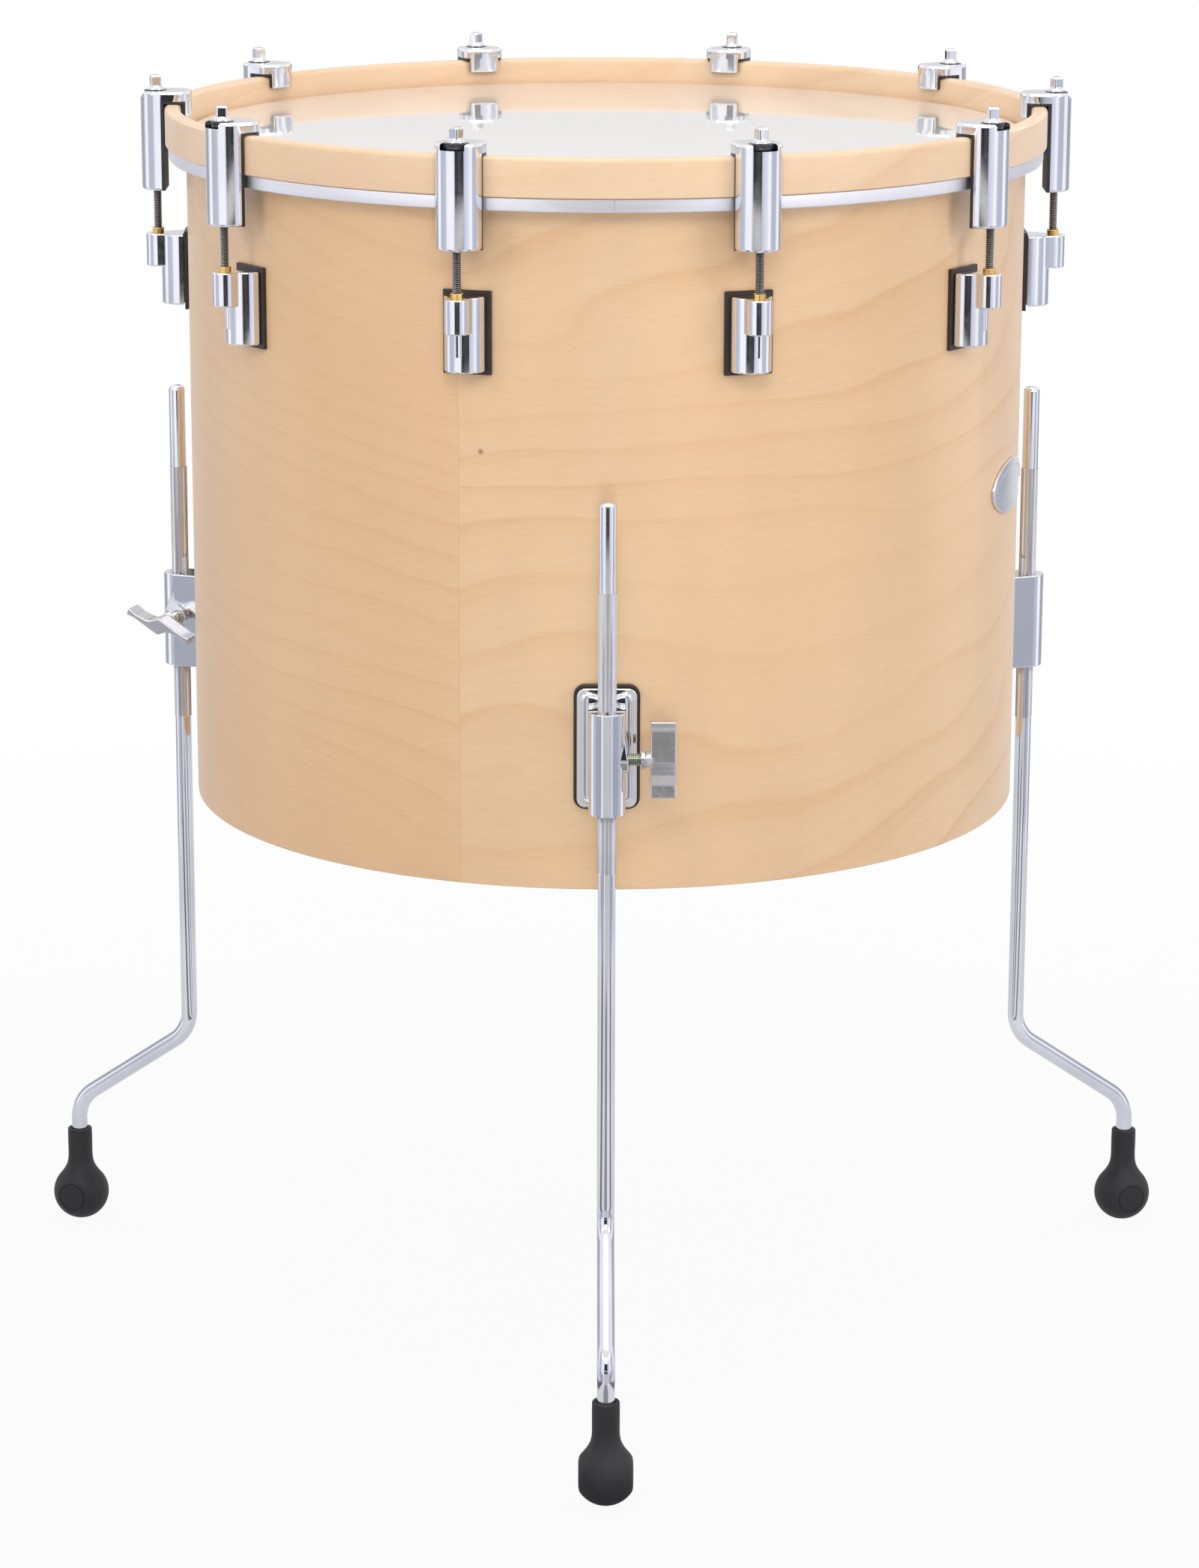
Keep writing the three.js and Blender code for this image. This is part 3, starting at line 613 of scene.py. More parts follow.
def raised(name, outline, low, high, edge=0.0, lowEdge=None, steps=4):  # a plan raised in z, edges rounded
    lowEdge = edge if lowEdge is None else lowEdge
    tidy = []
    for point in outline:
        if not tidy or (Vector(point) - Vector(tidy[-1])).length > mergeReach:
            tidy.append(tuple(point))
    if (Vector(tidy[0]) - Vector(tidy[-1])).length < mergeReach:
        tidy.pop()
    if area(tidy) < 0:
        tidy.reverse()
    levels = []
    for size, height, way in ((lowEdge, low, 1), (edge, high, -1)):
        count = steps if size > 0 else 0
        rim = []
        for k in range(count + 1):
            angle = math.pi / 2 * (k / count if count else 1)
            rim.append((height + way * size * (1 - math.cos(angle)), size * (1 - math.sin(angle))))
        levels += rim if way > 0 else rim[::-1]
    corners = [(x, y, height) for height, pull in levels for x, y in inset(tidy, pull)]
    count = len(tidy)
    ends = [list(range(count))[::-1], [len(corners) - count + i for i in range(count)]]
    return meshOf(name, corners, ends + wallFaces(len(levels), count))


def proud(name, outline, inner, outer, edge=0.0, height=0.0, steps=4):  # an x-z outline raised outwards
    return moved(raised(name, outline, inner, outer, edge, 0.0, steps),
                 Matrix.Translation((0, 0, height)) @ Matrix.Rotation(math.pi / 2, 4, "X"))


def slab(name, width, inner, outer, low, high, edge=0.0):
    return raised(name, fourCorners(-width / 2, width / 2, -outer, -inner), low, high, edge)


def turned(name, profile, sides=96, wrap=None, zero=0.0):  # a profile of (radius, height) turned round z
    corners, faces, marks = [], [], []
    rows = []
    for radius, height in profile:
        if radius < 1e-6:
            rows.append([len(corners)] * sides)
            corners.append((0, 0, height))
            continue
        rows.append(list(range(len(corners), len(corners) + sides)))
        for i in range(sides):
            angle = 2 * math.pi * (i / sides - 0.5)
            corners.append((radius * math.sin(angle), -radius * math.cos(angle), height))
    lengths = [0.0]
    closed = profile + [profile[0]]
    for first, second in zip(closed, closed[1:]):
        lengths.append(lengths[-1] + (Vector(second) - Vector(first)).length)
    onAxis = profile[0][0] < 1e-6
    for j in range(len(profile) - (1 if onAxis else 0)):
        here, above = rows[j], rows[(j + 1) % len(profile)]
        for i in range(sides):
            k = (i + 1) % sides
            face = [(here[i], i, j), (here[k], i + 1, j), (above[k], i + 1, j + 1), (above[i], i, j + 1)]
            kept = [mark for n, mark in enumerate(face) if mark[0] not in [other[0] for other in face[:n]]]
            faces.append([mark[0] for mark in kept])
            marks.append({vertex: (u, v) for vertex, u, v in kept})
    form = bpy.data.meshes.new(name)
    form.from_pydata(corners, [], faces)
    if wrap:
        layer = form.uv_layers.new(name="wrap")
        for polygon, mark in zip(form.polygons, marks):
            for loop in polygon.loop_indices:
                u, v = mark[form.loops[loop].vertex_index]
                across = 2 * math.pi * (u / sides - 0.5) * wrap * mm
                layer.data[loop].uv = (across, (lengths[v] - zero) * mm)
    return outward(form)


def standing(form, radius, height=0.0):  # from the z axis to a distance in front of the drum's axis
    return moved(form, Matrix.Translation((0, -radius, height)))


def lying(form, radius, height):  # from the z axis to a line along +x in front of the drum
    return moved(form, Matrix.Translation((0, -radius, height)) @ Matrix.Rotation(math.pi / 2, 4, "Y"))


def facing(form, radius, height, x=0.0):  # from the z axis to a line that looks outwards from the drum
    return moved(form, Matrix.Translation((x, -radius, height)) @ Matrix.Rotation(math.pi / 2, 4, "X"))


def bar(name, radius, low, high, sides=64):
    return turned(name, fourCorners(0, radius, low, high), sides)


def fitted(body, *steps):  # booleans: pairs of operation and tool
    holder = bpy.data.objects.new("blank", body)
    scene.collection.objects.link(holder)
    tools = []
    for operation, form in steps:
        tool = bpy.data.objects.new("tool", form)
        scene.collection.objects.link(tool)
        tools.append(tool)
        modifier = holder.modifiers.new("fit", "BOOLEAN")
        modifier.operation = operation
        modifier.solver = "EXACT"
        modifier.object = tool
    made = bpy.data.meshes.new_from_object(holder.evaluated_get(bpy.context.evaluated_depsgraph_get()))
    for item in [holder, *tools]:
        bpy.data.objects.remove(item)
    made.name = body.name
    return made


def joined(name, *forms):  # several closed solids as one mesh
    work = bmesh.new()
    for form in forms:
        work.from_mesh(form)
    made = bpy.data.meshes.new(name)
    work.to_mesh(made)
    work.free()
    return made


def grooveMap(form, low, high):  # writes each corner's rise above the groove into the map
    layer = form.uv_layers.new(name="rise")
    for loop in form.loops:
        x, y, z = form.vertices[loop.vertex_index].co
        layer.data[loop.index].uv = ((math.hypot(x, y) - low) / (high - low), z * mm)
    return form


def readyPiece(name, form, finish, body, replaces=(), angle=32, weighted=False):
    form.materials.clear()
    form.materials.append(finishes[finish])
    form.polygons.foreach_set("use_smooth", [True] * len(form.polygons))
    form.set_sharp_from_angle(angle=math.radians(angle))
    form.name = name
    piece = bpy.data.objects.new(name, form)
    scene.collection.objects.link(piece)
    if weighted:
        weigh = piece.modifiers.new("weighted", "WEIGHTED_NORMAL")
        weigh.keep_sharp = True
        weigh.weight = 80
    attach(piece, body)
    if replaces:
        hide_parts(*replaces)
    return piece


# geometry node trees

def newTree(name, inputs):
    tree = bpy.data.node_groups.new(name, "GeometryNodeTree")
    for label, kind in inputs:
        tree.interface.new_socket(label, in_out="INPUT", socket_type="NodeSocket" + kind)
    tree.interface.new_socket("Geometry", in_out="OUTPUT", socket_type="NodeSocketGeometry")
    bench = NodeBench(tree)
    labels = [label for label, kind in inputs]
    return bench, dict(zip(labels, bench.node("NodeGroupInput", out=labels)))


def closeTree(bench, geometry, finish):
    whole = bench.node("GeometryNodeRealizeInstances", None, dict(Geometry=geometry))
    dressed = bench.node("GeometryNodeSetMaterial", None, dict(Geometry=whole, Material=finish))
    bench.node("NodeGroupOutput", None, dict(Geometry=dressed))
    return bench.tree


def stationRingTree():  # repeats the piece round the drum's axis
    bench, given = newTree("stationRing", [
        ("Geometry", "Geometry"), ("Count", "Int"), ("First Angle", "Float"), ("Step Angle", "Float"),
        ("Axis Point", "Vector"), ("Finish", "Material")])
    points = bench.node("GeometryNodePoints", None, dict(Count=given["Count"], Position=given["Axis Point"]))
    turn = bench.node("GeometryNodeInputIndex") * given["Step Angle"] + given["First Angle"]
    rotation = bench.node("ShaderNodeCombineXYZ", None, dict(Z=turn))
    sockets = dict(Points=points, Instance=given["Geometry"], Rotation=rotation)
    return closeTree(bench, bench.node("GeometryNodeInstanceOnPoints", None, sockets), given["Finish"])


def screwThreadTree():  # a core with one helical ridge along z
    bench, given = newTree("screwThread", [
        ("Core Radius", "Float"), ("Crest", "Float"), ("Pitch", "Float"), ("Length", "Float"),
        ("Steps Per Turn", "Int"), ("Finish", "Material")])
    half = given["Length"] * 0.5
    sockets = dict(Vertices=24, Radius=given["Core Radius"], Depth=given["Length"])
    core = bench.node("GeometryNodeMeshCylinder", None, sockets)
    lift = bench.node("ShaderNodeCombineXYZ", None, dict(Z=half))
    core = bench.node("GeometryNodeTransform", None, dict(Geometry=core, Translation=lift))
    spiral = bench.node("GeometryNodeCurveSpiral", None, {
        "Resolution": given["Steps Per Turn"],
        "Rotations": (given["Length"] - given["Pitch"]) / given["Pitch"],
        "Start Radius": given["Core Radius"],
        "End Radius": given["Core Radius"],
        "Height": given["Length"] - given["Pitch"],
    })
    rise = bench.node("ShaderNodeCombineXYZ", None, dict(Z=given["Pitch"] * 0.5))
    spiral = bench.node("GeometryNodeTransform", None, dict(Geometry=spiral, Translation=rise))
    upright = bench.node("GeometryNodeSetCurveNormal", dict(mode="Z_UP"), dict(Curve=spiral))
    vee = bench.node("GeometryNodeCurvePrimitiveCircle", dict(mode="RADIUS"), dict(Resolution=4, Radius=1.0))
    shape = bench.node("ShaderNodeCombineXYZ", None, dict(X=given["Crest"], Y=given["Pitch"] * 0.46, Z=1.0))
    vee = bench.node("GeometryNodeTransform", None, dict(Geometry=vee, Scale=shape))
    sockets = {"Curve": upright, "Profile Curve": vee, "Fill Caps": True}
    ridge = bench.node("GeometryNodeCurveToMesh", None, sockets)
    both = bench.node("GeometryNodeJoinGeometry", None, dict(Geometry=[core, ridge]))
    return closeTree(bench, both, given["Finish"])


def knurlTree():  # a sleeve of small pyramids, closed at both ends
    bench, given = newTree("diamondKnurl", [
        ("Columns", "Int"), ("Rows", "Int"), ("Root Radius", "Float"), ("Crest Radius", "Float"),
        ("Length", "Float"), ("Finish", "Material")])
    counts = {"Vertices X": given["Columns"] + 1, "Vertices Y": given["Rows"] + 1}
    sheet = bench.node("GeometryNodeMeshGrid", None, {"Size X": 1.0, "Size Y": 1.0, **counts})
    spot = bench.node("GeometryNodeInputPosition")
    across, along = bench.parts(spot)[:2]
    column = ((across + 0.5) * given["Columns"]).rounded()
    row = ((along + 0.5) * given["Rows"]).rounded()
    crest = (column + row) % 2.0
    atEnd = (row < 0.5).most(row > given["Rows"] - 0.5)
    radius = given["Root Radius"] + crest * (given["Crest Radius"] - given["Root Radius"])
    radius = radius * (1.0 - atEnd)
    angle = column / given["Columns"] * (2 * math.pi)
    level = (row - 1.0).most(0.0).least(given["Rows"] - 2.0)
    height = level / (given["Rows"] - 2.0) * given["Length"]
    spots = dict(X=radius * angle.cosine(), Y=radius * angle.sine(), Z=height)
    place = bench.node("ShaderNodeCombineXYZ", None, spots)
    sleeve = bench.node("GeometryNodeSetPosition", None, dict(Geometry=sheet, Position=place))
    sleeve = bench.node("GeometryNodeMergeByDistance", None, dict(Geometry=sleeve, Distance=0.000002))
    settings = dict(quad_method="SHORTEST_DIAGONAL")
    sleeve = bench.node("GeometryNodeTriangulate", settings, dict(Mesh=sleeve))
    return closeTree(bench, sleeve, given["Finish"])


def grown(name, tree, values, form=None):  # the tree's result as a plain mesh
    holder = bpy.data.objects.new(name, form or bpy.data.meshes.new(name))
    scene.collection.objects.link(holder)
    modifier = holder.modifiers.new(name, "NODES")
    modifier.node_group = tree
    for item in tree.interface.items_tree:
        if item.in_out == "INPUT" and item.name in values:
            modifier[item.identifier] = values[item.name]
    made = bpy.data.meshes.new_from_object(holder.evaluated_get(bpy.context.evaluated_depsgraph_get()))
    bpy.data.objects.remove(holder)
    return made


stationRing = stationRingTree()
screwThread = screwThreadTree()
diamondKnurl = knurlTree()
legRing = dict(count=3, first=-108.0, step=108.0)


def threadForm(spec, length, finish):  # a thread from z = 0 up, with its groove map
    values = {
        "Core Radius": spec["core"] * mm, "Crest": spec["crest"] * mm, "Pitch": spec["pitch"] * mm,
        "Length": length * mm, "Steps Per Turn": spec["steps"], "Finish": finishes[finish],
    }
    form = moved(grown("thread", screwThread, values), Matrix.Scale(1 / mm, 4))
    return grooveMap(form, spec["core"], spec["core"] + spec["crest"])


def stationNames(prefix):
    return [f"{prefix}_{number}" for number, azimuth in stations]


def sideNames(prefix):
    return [f"{prefix}_{side}" for side in legSides]


def ringed(form, finish, count=stationCount, first=18.0, step=36.0):
    values = {
        "Count": count,
        "First Angle": math.radians(first),
        "Step Angle": math.radians(step),
        "Axis Point": tuple(drumAxis + Vector((0, 0, shellEdge))),
        "Finish": finishes[finish],
    }
    return grown(form.name, stationRing, values, moved(form, Matrix.Scale(mm, 4)))


def ringedPiece(name, form, finish, slot, replaces=(), angle=32, weighted=False, **ring):
    return readyPiece(name, ringed(form, finish, **ring), finish, "drum", replaces, angle, weighted)


print("node trees ready")


# shell: maple ply, open below, with a bevelled bearing edge
shell = dict(
    radius=254.0, wall=6.5, depth=406.4, edgeRound=0.8, bearingRound=2.4, bearing=2.8, peakRound=0.3,
    bevel=4.0, bevelRound=0.5, mapLift=0.6, sides=256,
)


def makeShell():
    outer, inner, top = shell["radius"], shell["radius"] - shell["wall"], shell["depth"]
    points = [(inner, 0), (outer, 0), (outer, top), (outer - shell["bearing"], top),
              (inner, top - shell["bevel"])]
    rounds = [shell[key] for key in ("edgeRound", "edgeRound", "bearingRound", "peakRound", "bevelRound")]
    zero = shell["wall"] - 2 * shell["edgeRound"] + math.pi * shell["edgeRound"] - shell["mapLift"]
    profile = eased(points, rounds, 8)
    form = moved(turned("maple_shell", profile, shell["sides"], outer, zero), drumPlace)
    readyPiece("maple_shell", form, "shell", "drum", ["shell"], 40)


makeShell()


# batter head: film, collar and hem, held in an aluminium flesh hoop
head = dict(
    film=0.5, top=407.2, turnRadius=3.3, turnCentre=(251.5, 403.9), turnEnd=12, bendHeight=399.0, hem=393.5,
    skirt=256.4, sides=256,
)
fleshHoop = dict(
    inner=254.6, outer=264.5, low=392.0, high=399.7, wall=1.0, channel=1.1, floor=1.2, sides=256,
    rounds=[0.45, 0.9, 0.6, 0.2, 0, 0, 0.2, 0.2], seamAzimuth=0.7, seamWidth=0.4, seamDepth=0.8,
)


def makeHead():
    film, centre, end = head["film"], head["turnCentre"], head["turnEnd"]
    under = arc(centre, head["turnRadius"] - film, 90, end, 10)
    over = arc(centre, head["turnRadius"], end, 90, 10)
    skirt, bend = head["skirt"], head["bendHeight"]
    profile = [(0, head["top"] - film), *under, (skirt - film, bend), (skirt - film, head["hem"]),
               (skirt, head["hem"]), (skirt, bend), *over, (0, head["top"])]
    form = moved(turned("film_head", profile, head["sides"]), drumPlace)
    readyPiece("film_head", form, "film", "drum", ["batter_head"], 40)


def makeFleshHoop():
    spec = fleshHoop
    channelIn = spec["inner"] + spec["wall"]
    channelOut = channelIn + spec["channel"]
    floor = spec["low"] + spec["floor"]
    points = [(spec["inner"], spec["low"]), (spec["outer"], spec["low"]), (spec["outer"], spec["high"]),
              (channelOut, spec["high"]), (channelOut, floor), (channelIn, floor),
              (channelIn, spec["high"]), (spec["inner"], spec["high"])]
    form = turned("aluminium_hoop", eased(points, spec["rounds"], 5), spec["sides"], spec["outer"])
    seam = slab("seam", spec["seamWidth"], spec["outer"] - spec["seamDepth"], spec["outer"] + 2,
                spec["low"] - 2, spec["high"] + 2)
    moved(seam, Matrix.Rotation(math.radians(spec["seamAzimuth"]), 4, "Z"))
    form = moved(fitted(form, ("DIFFERENCE", seam)), drumPlace)
    readyPiece("aluminium_hoop", form, "aluminium", "drum", ["flesh_hoop"], 40)


makeHead()
makeFleshHoop()


# wooden counter hoop
woodHoop = dict(inner=257.0, outer=266.5, low=400.0, high=422.5, rounds=[0.9, 0.9, 2.7, 2.7], sides=256)


def makeWoodHoop():
    spec = woodHoop
    profile = eased(fourCorners(spec["inner"], spec["outer"], spec["low"], spec["high"]), spec["rounds"], 8)
    form = moved(turned("maple_hoop", profile, spec["sides"], spec["outer"]), drumPlace)
    readyPiece("maple_hoop", form, "hoop", "drum", ["wood_hoop"], 40)


makeWoodHoop()
print("drum body made")


# claws: chromed castings over black liners
claw = dict(
    width=27.0, centre=268.4, low=370.5, capLow=424.2, top=430.0, shoulder=261.2, nose=250.7,
    back=268.8, edge=1.9, lowEdge=1.7, hookWidth=19.0, hookBack=254.2, hookNose=250.9, hookLow=415.0,
    hookHigh=427.0, hookEdge=1.2, rodCircle=272.7, boreRadius=3.4, notchRadius=7.2, notchFloor=426.6,
)
liner = dict(
    inner=266.8, capLow=422.8, width=27.0, hookWidth=18.6, hookInner=256.2, low=370.6, hookLow=415.4,
    lap=0.6, roofInset=0.25, gap=0.02,
)


def halfRound(width, back, centre, steps=56):
    return [(width / 2, -back), *arc((0, -centre), width / 2, 0, -180, steps), (-width / 2, -back)]


def clawCapPlan(spec, shrink=0.0):
    half = spec["width"] / 2 - shrink
    front = arc((0, -spec["centre"]), half, 180, 360, 64)
    nose = arc((0, -spec["shoulder"]), half, 0, 180, 48, spec["shoulder"] - spec["nose"] - shrink)
    return front + nose


def makeClaws():
    spec = claw
    plan = clawCapPlan(spec)
    body = raised("claw_castings", plan, spec["low"], spec["top"], spec["edge"], spec["lowEdge"], 6)
    reach = spec["hookBack"] - spec["hookNose"]
    hookPlan = arc((0, -spec["hookBack"]), spec["hookWidth"] / 2, 0, 180, 40, reach)
    hook = raised("hook", hookPlan, spec["hookLow"], spec["hookHigh"], 0, spec["hookEdge"], 4)
    notchFront = slab("notch", 2 * spec["notchRadius"], spec["rodCircle"], 290, spec["notchFloor"], 440)
    notchRound = standing(bar("notchRound", spec["notchRadius"], spec["notchFloor"], 440), spec["rodCircle"])
    form = fitted(
        body,
        ("DIFFERENCE", slab("pocket", 60, 230, spec["back"], 360, spec["capLow"])),
        ("UNION", hook),
        ("DIFFERENCE", standing(bar("bore", spec["boreRadius"], 360, 440, 40), spec["rodCircle"])),
        ("DIFFERENCE", fitted(notchFront, ("UNION", notchRound))),
    )
    ringedPiece("claw_castings", form, "chrome", "chrome", stationNames("claw"), 30, True)


def makeLiners():
    spec = liner
    high, gap = claw["capLow"] - spec["lap"], spec["gap"]
    wall = slab("claw_liners", spec["width"], spec["inner"], claw["back"], spec["low"], high)
    roof = raised("roof", clawCapPlan(claw, spec["roofInset"]), spec["capLow"], claw["capLow"])
    keep = slab("keep", 40, claw["hookBack"] + gap, claw["back"] - gap, 420, 430)
    roof = fitted(roof, ("INTERSECT", keep))
    lip = slab("lip", spec["hookWidth"], claw["hookBack"], spec["hookInner"], spec["hookLow"], high)
    form = fitted(wall, ("UNION", roof), ("UNION", lip))
    ringedPiece("claw_liners", form, "nylon", "gasket_black")


makeClaws()
makeLiners()
print("claws made")


# lugs: castings with a rod post, brass inserts, rubber pads, and screws with washers inside the shell
lug = dict(
    width=23.6, back=256.8, centre=259.2, low=300.8, top=343.5, edge=0.9,
    postWidth=14.8, postLow=323.6, postBack=262.0, boreRadius=2.8,
)
lugInsert = dict(across=6.8, sides=8, low=340.0, top=346.7, bore=2.65, corner=0.8, edge=0.4, rodCircle=272.7)
lugPad = dict(width=28.4, height=47.5, corner=0.6, edge=0.3, inner=254.3, outer=256.5, centre=322.15)
innerScrews = dict(
    wall=247.5, sink=0.05, spread=12.0, washerRadius=6.2, washerBore=2.3, washer=1.1,
    headRadius=4.2, head=2.6, headRound=1.4, slotWidth=1.1, slotReach=2.4, slotDepth=1.3,
)


def makeLugs():
    spec = lug
    body = raised("lug_castings", halfRound(spec["width"], spec["back"], spec["centre"]),
                  spec["low"], spec["top"], spec["edge"])
    postPlan = halfRound(spec["postWidth"], spec["postBack"], claw["rodCircle"], 40)
    post = raised("post", postPlan, spec["postLow"], spec["top"], spec["edge"])
    back = slab("back", 60, 240, spec["back"] + 0.01, 290, 360)
    bore = standing(bar("bore", spec["boreRadius"], 310, 360, 40), claw["rodCircle"])
    form = fitted(body, ("UNION", post), ("DIFFERENCE", back), ("DIFFERENCE", bore))
    ringedPiece("lug_castings", form, "chrome", "chrome", stationNames("lug"), 30, True)


def makeInserts():
    spec = lugInsert
    corner = spec["across"] / 2 / math.cos(math.pi / spec["sides"])
    angles = [2 * math.pi * (i + 0.5) / spec["sides"] for i in range(spec["sides"])]
    plan = [(corner * math.cos(angle), corner * math.sin(angle)) for angle in angles]
    form = raised("lug_inserts", eased(plan, spec["corner"], 3), spec["low"], spec["top"], spec["edge"])
    form = fitted(form, ("DIFFERENCE", bar("bore", spec["bore"], 330, 360, 40)))
    ringedPiece("lug_inserts", standing(form, spec["rodCircle"]), "brass", "insert_brass")


def wrapPad(form, radius):  # bends a flat pad round the shell
    for vertex in form.vertices:
        x, y, z = vertex.co
        vertex.co = (-y * math.sin(x / radius), y * math.cos(x / radius), z)
    return form


def padForm(name, spec):
    width, edge = spec["width"], spec["edge"]
    outline = refined(rectangle(width, spec["height"], spec["corner"]), 1.5)
    work = bmesh.new()
    loops = []
    for depth, pull in ((spec["inner"], 0.0), (spec["outer"] - edge, 0.0), (spec["outer"], edge)):
        loops.append([work.verts.new((x, -depth, z + spec["centre"])) for x, z in inset(outline, pull)])
    for lower, upper in zip(loops, loops[1:]):
        for i in range(len(outline)):
            k = (i + 1) % len(outline)
            work.faces.new((lower[i], lower[k], upper[k], upper[i]))
    columns = 14
    for loop in (loops[0], loops[-1]):  # strips across the pad, so that it can bend
        face = work.faces.new(loop)
        strips = [face, *loop, *face.edges]
        for n in range(1, columns):
            cut = (-width / 2 + width * n / columns, 0, 0)
            strips = bmesh.ops.bisect_plane(work, geom=strips, plane_co=cut, plane_no=(1, 0, 0))["geom"]
    bmesh.ops.remove_doubles(work, verts=work.verts, dist=0.001)
    bmesh.ops.recalc_face_normals(work, faces=work.faces)
    form = bpy.data.meshes.new(name)
    work.to_mesh(form)
    work.free()
    return wrapPad(form, spec["inner"])


def makeLugPads():
    form = padForm("lug_pads", lugPad)
    ringedPiece("lug_pads", form, "gasket", "gasket_black", stationNames("lug_gasket"))


def screwHead(spec):  # a low dome with a crossed slot
    radius, height, soft = spec["headRadius"], spec["head"], spec["headRound"]
    dome = [(0, 0), (radius, 0), *arc((radius - soft, height - soft), soft, 0, 70, 5), (0, height)]
    form = turned("screw", dome, 40)
    for turn in (0, math.pi / 2):
        reach = spec["slotReach"]
        blade = slab("blade", spec["slotWidth"], -reach, reach, height - spec["slotDepth"], height + 1)
        form = fitted(form, ("DIFFERENCE", moved(blade, Matrix.Rotation(turn, 4, "Z"))))
    return form


def innerSet(name, centre):  # two screws on washers against the inside of the shell
    spec = innerScrews
    screws, washers = [], []
    inward = Matrix.Rotation(math.pi, 4, "Z")
    profile = eased(fourCorners(spec["washerBore"], spec["washerRadius"], 0, spec["washer"]), 0.2, 3)
    seat = -spec["wall"] + spec["sink"]
    for height in (centre - spec["spread"], centre + spec["spread"]):
        washers.append(facing(turned("washer", profile, 48), 0, 0))
        screws.append(facing(screwHead(spec), 0, 0))
        for form, gap in ((washers[-1], 0.0), (screws[-1], spec["washer"])):
            moved(form, Matrix.Translation((0, seat + gap, height)) @ inward)
    return joined(name + "_screws", *screws), joined(name + "_washers", *washers)


def makeLugScrews():
    screws, washers = innerSet("lug", lugPad["centre"])
    ringedPiece("lug_screws", screws, "steel", "rod_steel")
    ringedPiece("lug_washers", washers, "zinc", "zinc_plate")


makeLugs()
makeInserts()
makeLugPads()
makeLugScrews()
print("lugs made")


# tension rods: threaded shaft, square key head, steel washer, nylon collar
rod = dict(circle=272.7, low=326.0, high=427.4, core=2.1, crest=0.5, pitch=1.06, steps=16)
rodKey = dict(square=6.35, low=430.9, high=439.2, corner=1.1, dome=1.5)
rodFoot = dict(radius=4.7, topRadius=3.5, low=430.9, rim=431.4, high=433.0)
rodWasher = dict(radius=5.4, low=430.2, high=431.0)
rodCollar = dict(lowRadius=6.1, highRadius=6.9, low=426.9, high=430.2, bore=2.3)
keyTurns = [12, 41, 24, 63, 5, 33, 78, 18, 52, 70]


def makeRods():
    shaft = threadForm(rod, rod["high"] - rod["low"], "rodThread")
    moved(shaft, Matrix.Translation((0, 0, rod["low"])))
    plan = rectangle(rodKey["square"], rodKey["square"], rodKey["corner"], 6)
    key = raised("key", plan, rodKey["low"], rodKey["high"], rodKey["dome"], 0, 6)
    spec = rodFoot
    profile = [(0, spec["low"]), (spec["radius"], spec["low"]), (spec["radius"], spec["rim"]),
               (spec["topRadius"], spec["high"]), (0, spec["high"])]
    foot = turned("foot", eased(profile, [0, 0.1, 0.3, 0.8, 0], 4), 48)
    profile = fourCorners(0, rodWasher["radius"], rodWasher["low"], rodWasher["high"])
    washer = turned("washer", eased(profile, [0, 0.25, 0.25, 0], 4), 64)
    head = fitted(key, ("UNION", foot), ("UNION", washer))
    spec = rodCollar
    profile = [(spec["bore"], spec["low"]), (spec["lowRadius"], spec["low"]),
               (spec["highRadius"], spec["high"]), (spec["bore"], spec["high"])]
    collar = turned("collar", eased(profile, 0.35, 4), 64)
    for (number, azimuth), turn in zip(stations, keyTurns):
        body = f"tension_rod_{number}"
        station = Matrix.Rotation(math.radians(azimuth), 4, "Z") @ Matrix.Translation((0, -rod["circle"], 0))
        place = drumPlace @ station @ Matrix.Rotation(math.radians(turn), 4, "Z")
        key, thread, ring = [moved(form.copy(), place) for form in (head, shaft, collar)]
        readyPiece(f"rod_key_{number}", key, "chrome", body, [body], 30, True)
        readyPiece(f"rod_shaft_{number}", thread, "rodThread", body, (), 50)
        readyPiece(f"rod_collar_{number}", ring, "nylon", body, (), 30)


makeRods()
print("tension rods made")


# leg brackets: a rimmed plate, a half-round housing with a threaded boss, a pad, and screws inside
bracket = dict(
    back=257.1, face=259.7, width=34.4, height=70.0, corner=5.0, centre=85.4, edge=0.8,
    beadInset=3.7, beadWidth=3.3, beadHeight=2.3, beadSink=0.4, beadCorner=3.2, beadDip=3.2, beadDipReach=9.5,
    housingWidth=21.2, housingCentre=285.0, housingLow=53.8, housingHigh=113.4, housingEdge=0.5,
    legBore=5.6, bossRadius=7.5, bossFace=12.2, bossRise=25.0, bossTaper=3.4, bossEdge=0.9,
    boltBore=3.95,
)
bracketPad = dict(width=37.8, height=73.4, corner=6.7, edge=0.7, inner=254.3, outer=256.8, centre=85.4)


